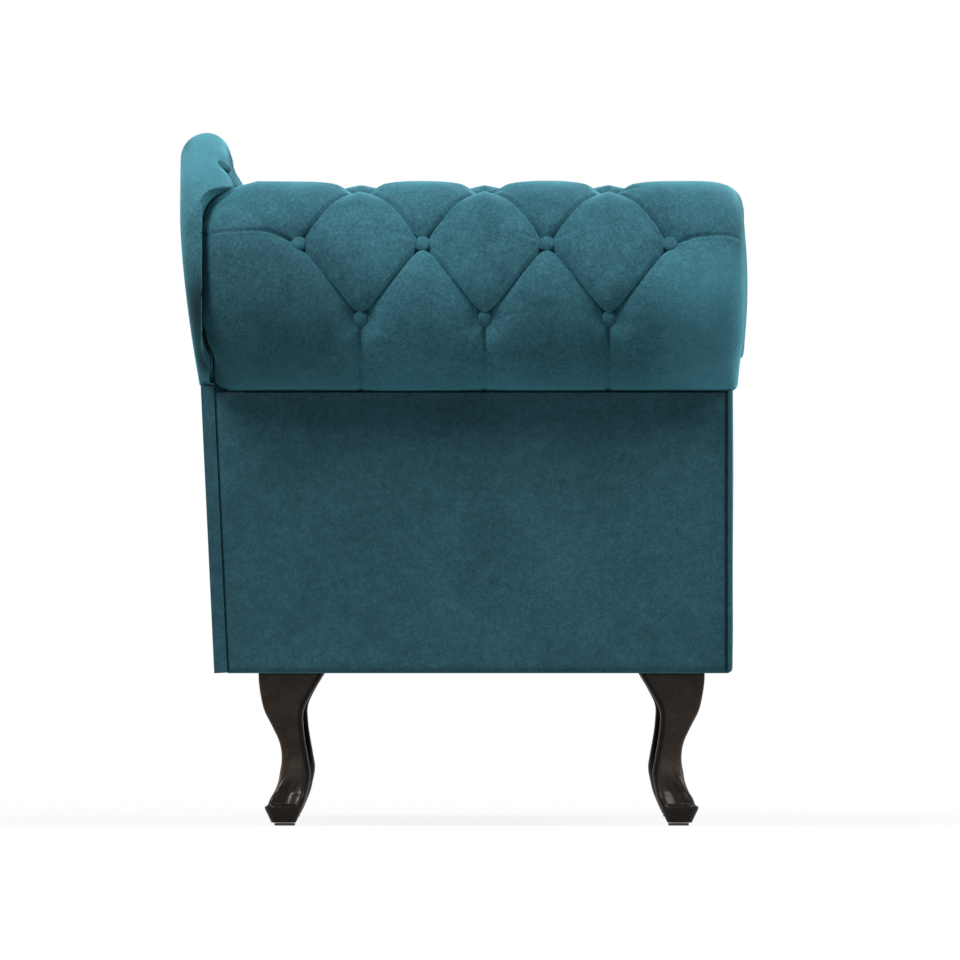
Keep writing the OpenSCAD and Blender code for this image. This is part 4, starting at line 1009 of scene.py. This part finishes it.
def lay_pieces(name, tree, piece, places, facings, finish, spread):
    """A plain mesh with the piece laid at every place."""
    data = bpy.data.meshes.new(name)
    data.from_pydata([tuple(p) for p in np.asarray(places) * MM], [], [])
    way = data.attributes.new("facing", "FLOAT_VECTOR", "POINT")
    way.data.foreach_set("vector", np.asarray(facings, float).ravel())
    carrier = add_object(name, data)
    laid = carrier.modifiers.new("laid", "NODES")
    laid.node_group = tree
    values = {"Piece": piece, "Size": 1.0, "Size spread": spread, "Finish": finish}
    for item in tree.interface.items_tree:
        if item.in_out == "INPUT" and item.name in values:
            laid[item.identifier] = values[item.name]
    settle(carrier, laid)
    carrier.data.shade_smooth()
    return carrier


def arm_button_places():
    places, facings = [], []
    for y, a in arm_buttons_at:
        x, z = arm_point(a, HIDDEN_BUTTON_IN if a == arm_rows_at[HIDDEN_ROW] else ARM_BUTTON_IN)
        t = math.radians(float(arm_angle(a)))
        places.append((x, y, z))
        facings.append((-math.cos(t), 0, math.sin(t)))
    return places, facings


def back_button_places():
    places, facings = [], []
    for s, t in back_buttons_at + [END_BUTTON]:
        n = np.cross(back_spot(s + 2, t) - back_spot(s - 2, t),
                     back_spot(s, t + 2) - back_spot(s, t - 2))
        n /= np.linalg.norm(n)
        if n @ (back_spot(s, t) - back_spot(s, t, 10.0)) < 0:
            n = -n
        places.append(back_spot(s, t, END_BUTTON_IN if s < PEAK_S else BACK_BUTTON_IN))
        facings.append(n)
    return places, facings


# Finishes

def make_nap():
    """Pile brushed this way and that: patches of shade, and the fine tufts of the cloth."""
    w, given, result = new_group("ShaderNodeTree", "velvet_nap", {"Patch size": 5, "Tuft size": 700},
                                 {"Shade": "Float", "Tufts": "Float"})
    here, patch, tuft = w.place(), given["Patch size"], given["Tuft size"]
    brushed = w.place(turn=(0.2, 0.1, 0.35), stretch=(1, 1, 1.3))
    wide = w.noise(here, patch, 3, 0.55, 0.4)
    mid = w.noise(brushed, w.times(patch, 8), 3, 0.6, 0.4)
    fine = w.noise(brushed, w.times(patch, 62), 2, 0.6)
    both = w.sums("ADD", w.times(wide, 0.35), w.times(mid, 0.25))
    w.feed(result["Shade"], w.spread(w.sums("ADD", both, w.times(fine, 0.4)), 0.32, 0.68))
    tufts = w.noise(here, tuft, 1, 0.5)
    weave = w.noise(here, w.times(tuft, 0.31), 2, 0.6)
    w.feed(result["Tufts"], w.sums("ADD", w.times(tufts, 0.5), w.times(weave, 0.5)))
    return w.tree


def make_grain():
    """Grain along one axis: growth rings as streaks, and fine pores."""
    w, given, result = new_group("ShaderNodeTree", "wood_grain", {"Ring scale": 20, "Pore scale": 260},
                                 {"Rings": "Float", "Pores": "Float"})
    rings = w.noise(w.place(stretch=(0.12, 1, 1)), given["Ring scale"], 4, 0.6, 1.4)
    pores = w.noise(w.place(stretch=(0.05, 1, 1)), given["Pore scale"], 2, 0.7)
    w.feed(result["Rings"], w.spread(rings, 0.32, 0.68))
    w.feed(result["Pores"], w.spread(pores, 0.35, 0.75))
    return w.tree


def make_wear():
    """Soft patches where a finish is rubbed, dusty or stained."""
    w, given, result = new_group("ShaderNodeTree", "rubbed_patches", {"Size": 9, "Amount": 0.5},
                                 {"Mask": "Float"})
    cloud = w.noise(w.place(), given["Size"], 5, 0.62, 0.7)
    low = w.sums("SUBTRACT", 0.95, given["Amount"])
    w.feed(result["Mask"], w.spread(cloud, w.sums("SUBTRACT", low, 0.12), w.sums("ADD", low, 0.16)))
    return w.tree


NAP, GRAIN, WEAR = make_nap(), make_grain(), make_wear()


def new_finish(name):
    material = bpy.data.materials.new(name)
    material.use_nodes = True
    return material, Wires(material.node_tree)


def dress(material, w, base, rough, bump, **others):
    """Feeds the shader. rough is a mask and the roughness where it is 0 and 1, bump what Wires.bump takes."""
    shader = material.node_tree.nodes["Principled BSDF"]
    mask, at_0, at_1 = rough
    sockets = {"Base Color": base, "Roughness": w.spread(mask, 0, 1, at_0, at_1), "Normal": w.bump(*bump)}
    for label, value in {**sockets, **others}.items():
        w.feed(shader.inputs[label.replace("_", " ")], value)
    return material


def make_velvet(name, dark, light, patch=5.0, bump=0.25, painted_light_areas=()):
    """Velvet. The last argument lists areas of painted light and painted shade: each has its tone, how far it
    takes over, and the stretch along each axis over which it sets in."""
    material, w = new_finish(name)
    nap = w.use(NAP, Patch_size=patch, Tuft_size=620.0)
    rubbed = w.use(WEAR, Size=3.1, Amount=0.42)["Mask"]
    base = w.tones(nap["Shade"], dark, light, (w.times(rubbed, 0.15), [c + 12 for c in light]),
                   (w.spread(nap["Tufts"], 0.38, 0.62, 0.0, 0.42), [c * 0.7 for c in dark]))
    here = w.node("ShaderNodeSeparateXYZ", Vector=w.place()).outputs
    for tone, share, stretches in painted_light_areas:
        for axis, start, full in stretches:
            share = w.times(share, w.spread(here[axis], start * MM, full * MM))
        # Painted light and painted shade: each area's tone is blended over the velvet's own colour
        base = w.blend(share, base, colour(*tone))
    return dress(material, w, base, (nap["Shade"], 0.86, 0.74), (nap["Tufts"], bump, 0.0012),
                 Specular_IOR_Level=0.1, Sheen_Weight=0.55, Sheen_Roughness=0.42,
                 Sheen_Tint=colour(104, 196, 214))


def make_dark_wood():
    """Dark stained wood, darker round the feet, with painted shade on the faces turned under the couch."""
    material, w = new_finish("espresso_wood")
    grain = w.use(GRAIN, Ring_scale=34.0, Pore_scale=420.0)
    rubbed = w.use(WEAR, Size=22.0, Amount=0.4)["Mask"]
    base = w.tones(grain["Rings"], (42, 35, 29), (54, 45, 38), (w.times(grain["Pores"], 0.4), (16, 13, 11)),
                   (w.times(rubbed, 0.2), (54, 46, 40)))
    here = w.node("ShaderNodeSeparateXYZ", Vector=w.place()).outputs
    inner = w.node("ShaderNodeFloatCurve", Value=w.sums("DIVIDE", here["Z"], LEG_H * MM))
    points = inner.mapping.curves[0].points
    for i, row in enumerate(LEG_PROFILE):
        if i < 2:
            points[i].location = (row[0], row[2])
        else:
            points.new(row[0], row[2])
    inner.mapping.update()
    across = []
    for axis, places in zip("XY", zip(*LEGS.values())):
        gaps = [w.sums("ABSOLUTE", w.sums("SUBTRACT", here[axis], end(places) * MM))
                for end in (min, max)]
        across.append(w.sums("DIVIDE", w.sums("MINIMUM", *gaps), LEG_W * MM))
    short = w.sums("SUBTRACT", inner.outputs[0], w.sums("MAXIMUM", *across))
    # Painted shade: colour (7, 5, 4) laid over a band along the leg's inner edges, on the faces turned under
    # the couch; the same colour also darkens the wood round the feet, below 75 mm
    shade = w.sums("MAXIMUM", w.spread(short, 0.11, 0.06, 0, 0.85), w.spread(here["Z"], 0.075, 0.04, 0, 0.7))
    return dress(material, w, w.blend(shade, base, colour(7, 5, 4)), (rubbed, 0.3, 0.44),
                 (grain["Pores"], 0.02, 0.0003), Specular_IOR_Level=0.06, Coat_Weight=0.06,
                 Coat_Roughness=0.14)


def make_pine():
    material, w = new_finish("pine_frame")
    grain = w.use(GRAIN, Ring_scale=26.0, Pore_scale=300.0)
    stained = w.use(WEAR, Size=7.0, Amount=0.36)["Mask"]
    base = w.tones(grain["Rings"], (206, 170, 118), (178, 132, 80),
                   (w.times(grain["Pores"], 0.3), (140, 98, 56)), (w.times(stained, 0.3), (226, 200, 156)))
    return dress(material, w, base, (grain["Rings"], 0.7, 0.6), (grain["Pores"], 0.2, 0.0008))


def make_steel():
    material, w = new_finish("plated_steel")
    dull = w.use(WEAR, Size=60.0, Amount=0.5)["Mask"]
    spots = w.noise(w.place(), 380.0, 3, 0.6)
    base = w.tones(dull, (176, 176, 172), (134, 132, 126),
                   (w.spread(spots, 0.62, 0.8, 0.0, 0.4), (96, 84, 70)))
    return dress(material, w, base, (dull, 0.3, 0.5), (spots, 0.1, 0.0004),
                 Metallic=w.spread(dull, 0, 1, 1.0, 0.85))


def make_black_cloth():
    material, w = new_finish("black_underlining")
    threads = [w.node("ShaderNodeTexWave", Vector=w.place(turn=(0, 0, turn)), Scale=160.0, Distortion=0.6,
                      Detail=1.0).outputs["Fac"] for turn in (0, math.pi / 2)]
    weave = w.times(*threads)
    dusty = w.use(WEAR, Size=5.0, Amount=0.45)["Mask"]
    base = w.tones(weave, (16, 16, 18), (38, 38, 41), (w.times(dusty, 0.3), (72, 70, 66)))
    return dress(material, w, base, (dusty, 0.85, 0.95), (weave, 0.3, 0.0006))


def make_nylon():
    material, w = new_finish("nylon_glide")
    scuffed = w.use(WEAR, Size=90.0, Amount=0.5)["Mask"]
    base = w.tones(scuffed, (42, 40, 38), (78, 74, 70))
    speck = w.noise(w.place(), 900.0, 2, 0.5)
    return dress(material, w, base, (scuffed, 0.42, 0.66), (speck, 0.12, 0.0003))


# Making the couch

TEAL = (24, 57, 67), (46, 91, 103)
velvet = make_velvet("teal_velvet", *TEAL)
# A copy of the teal velvet for the roll, with painted shade and painted light laid on it
roll_velvet_painted_light = make_velvet("teal_velvet_roll_painted_light", *TEAL, painted_light_areas=[
    # Painted shade towards the roll's rear end, strongest below the crest
    ((12, 30, 36), 0.34, [("Y", 70, 180), ("Z", 710, 640)]),
    # Painted light towards the roll's front end, strongest below the crest
    ((72, 134, 150), 0.26, [("Y", -190, -290), ("Z", 690, 630)]),
])
# A copy of the teal velvet for the back, with painted shade and painted light laid on it
back_velvet_painted_light = make_velvet("teal_velvet_back_painted_light", *TEAL, painted_light_areas=[
    # Painted shade: the wing's low outer face at the head end, by the rear, is made nearly black
    ((3, 9, 11), 0.95, [("X", -715, -742), ("Y", 262, 284), ("Z", 668, 592)]),
    # Painted light over the top of the back towards the head end
    ((92, 164, 182), 0.2, [("X", -560, -680), ("Z", 690, 775)]),
])
seat_velvet = make_velvet("teal_velvet_seat", (25, 58, 68), (47, 92, 104), patch=4.0)
# Painted shade: the panels round the base get a darker copy of the same teal velvet
shaded_panel_velvet = make_velvet("teal_velvet_panels_shaded", (23, 53, 62), (38, 74, 84), patch=7.0, bump=0.3)
dark_wood, pine, steel = make_dark_wood(), make_pine(), make_steel()
black_cloth, nylon = make_black_cloth(), make_nylon()


def cover(piece, finish, *nodes, slot="velvet"):
    piece.data.materials.clear()
    piece.data.materials.append(finish)
    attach(piece, "root")
    if nodes:
        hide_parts(*nodes)


laying, button = make_laying_tree(), make_button()
button_places = {"arm_buttons": arm_button_places(), "back_buttons": back_button_places()}
button_sets = {node: lay_pieces(node + "_covered", laying, button, *at, velvet, 0.02)
               for node, at in button_places.items()}
bpy.data.objects.remove(button)

arm_padding, back_padding = make_arm_pad(), make_back_pad()
cushion = make_cushion()
seat_welts = make_cushion_welts(cushion)
scroll = make_scroll()
panels = make_panels()
t = full_turn(170)
SCROLL_WELT_R = 2.6
rim_r = FACING_R - 1.2
rim = np.stack([ROLL_X + rim_r * np.cos(t), FRAME_FRONT_Y - 3.4 + 0 * t, ROLL_Z + rim_r * np.sin(t)], -1)
scroll_welt = tube("scroll_welt", rim, SCROLL_WELT_R)

for node, piece in button_sets.items():
    cover(piece, velvet, node)
cover(arm_padding, roll_velvet_painted_light, "arm_pad")
cover(back_padding, back_velvet_painted_light, "back_pad", "back_wing")
cover(cushion, seat_velvet, "seat_cushion")
for welt in seat_welts:
    cover(welt, seat_velvet)
cover(scroll, velvet, "arm_facing")
cover(scroll_welt, velvet)
# The post below the scroll stands for no node of its own: the scroll stands for all of arm_facing
cover(panels.pop("arm_facing"), shaded_panel_velvet)
for node, piece in panels.items():
    cover(piece, shaded_panel_velvet, node)
for node in LEGS:
    cover(make_leg(node), dark_wood, node, slot="dark_wood")

# The CAD's own solids that stay in view keep their shapes and get finishes
finishes = {
    pine: ("front_rail", "rear_rail", "head_rail", "foot_rail", "stretchers", "corner_blocks",
           "arm_front_board", "arm_rear_board", "arm_slats"),
    steel: ("seat_springs", "spring_clips", "leg_bolts", "leg_tee_nuts", "back_bolts", "arm_bolts"),
    black_cloth: ("dust_cover",),
    nylon: ("leg_glides",),
    shaded_panel_velvet: ("back_board", "spring_cover"),
}
for finish, nodes in finishes.items():
    for node in nodes:
        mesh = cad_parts[node].data
        mesh.materials.clear()
        mesh.materials.append(finish)


# Camera, light and floor

SKY_LIGHT, FLOOR_SIZE = 0.22, 14
scene = bpy.context.scene
camera = add_object("camera", bpy.data.cameras.new("camera"))
camera.location = (-51.42, -0.0184, 0.3988)
camera.rotation_euler = (math.pi / 2, 0, -math.pi / 2)
camera.data.sensor_width = 36
camera.data.lens = 1650
camera.data.clip_end = 200
scene.camera = camera

# Each lamp's place, the point that it is turned to, its width and its power
LAMPS = {
    "high_left": ((-2.3, 1.9, 3.3), (-0.6, 0.1, 0.6), 1.5, 215),
    "high_right": ((-1.5, -2.5, 2.7), (-0.5, -0.1, 0.6), 1.5, 105),
    "front_fill": ((-5.0, 0.3, 1.5), (-0.6, 0, 0.5), 2.4, 22),
    "foot_fill": ((3.2, -1.8, 2.6), (0.3, 0, 0.4), 2.2, 80),
    "rear_fill": ((2.0, 3.2, 2.4), (0.2, 0.2, 0.4), 2.2, 70),
    "side_fill": ((0.6, -3.8, 2.2), (0, 0, 0.4), 2.4, 80),
}
for name, (place, target, size, power) in LAMPS.items():
    lamp = add_object(name, bpy.data.lights.new(name, "AREA"))
    lamp.data.shape, lamp.data.size, lamp.data.energy = "DISK", size, power
    lamp.location = place
    lamp.rotation_euler = (Vector(target) - Vector(place)).to_track_quat("-Z", "Y").to_euler()

world = bpy.data.worlds.new("studio")
scene.world = world
world.use_nodes = True
w = Wires(world.node_tree)
rays = w.node("ShaderNodeLightPath").outputs
mirrored = w.sums("MAXIMUM", rays["Is Glossy Ray"], rays["Is Transmission Ray"])
sky = world.node_tree.nodes["Background"].inputs
sky["Color"].default_value = (1, 1, 1, 1)
w.feed(sky["Strength"], w.spread(w.sums("MAXIMUM", rays["Is Camera Ray"], mirrored), 0, 1, SKY_LIGHT, 1.0))

bpy.ops.mesh.primitive_grid_add(x_subdivisions=2, y_subdivisions=2, size=1)
floor = bpy.context.object
floor.name = "pale_floor"
floor.data.transform(Matrix.Scale(FLOOR_SIZE, 4))
paper, w = new_finish("pale_paper")
mottled = w.noise(w.place(), 1.4, 2, 0.5)
shader = paper.node_tree.nodes["Principled BSDF"]
w.feed(shader.inputs["Base Color"], w.blend(mottled, (0.44, 0.44, 0.44, 1), (0.47, 0.47, 0.47, 1)))
shader.inputs["Roughness"].default_value = 0.9
shader.inputs["Specular IOR Level"].default_value = 0.1
glow = w.node("ShaderNodeEmission", Color=(1, 1, 1, 1), Strength=1.0)
rays = w.node("ShaderNodeLightPath").outputs
seen = w.sums("MAXIMUM", rays["Is Camera Ray"], rays["Is Glossy Ray"])
out = w.node("ShaderNodeVectorMath")
out.operation = "LENGTH"
w.feed(out.inputs[0], w.place())
both = w.node("ShaderNodeMixShader")
w.feed(both.inputs[0], w.times(seen, w.spread(out.outputs["Value"], 1.0, 3.2, 0.88, 1.0)))
w.feed(both.inputs[1], shader.outputs[0])
w.feed(both.inputs[2], glow.outputs[0])
w.feed(paper.node_tree.nodes["Material Output"].inputs["Surface"], both.outputs[0])
floor.data.materials.append(paper)

scene.view_settings.view_transform = "Standard"
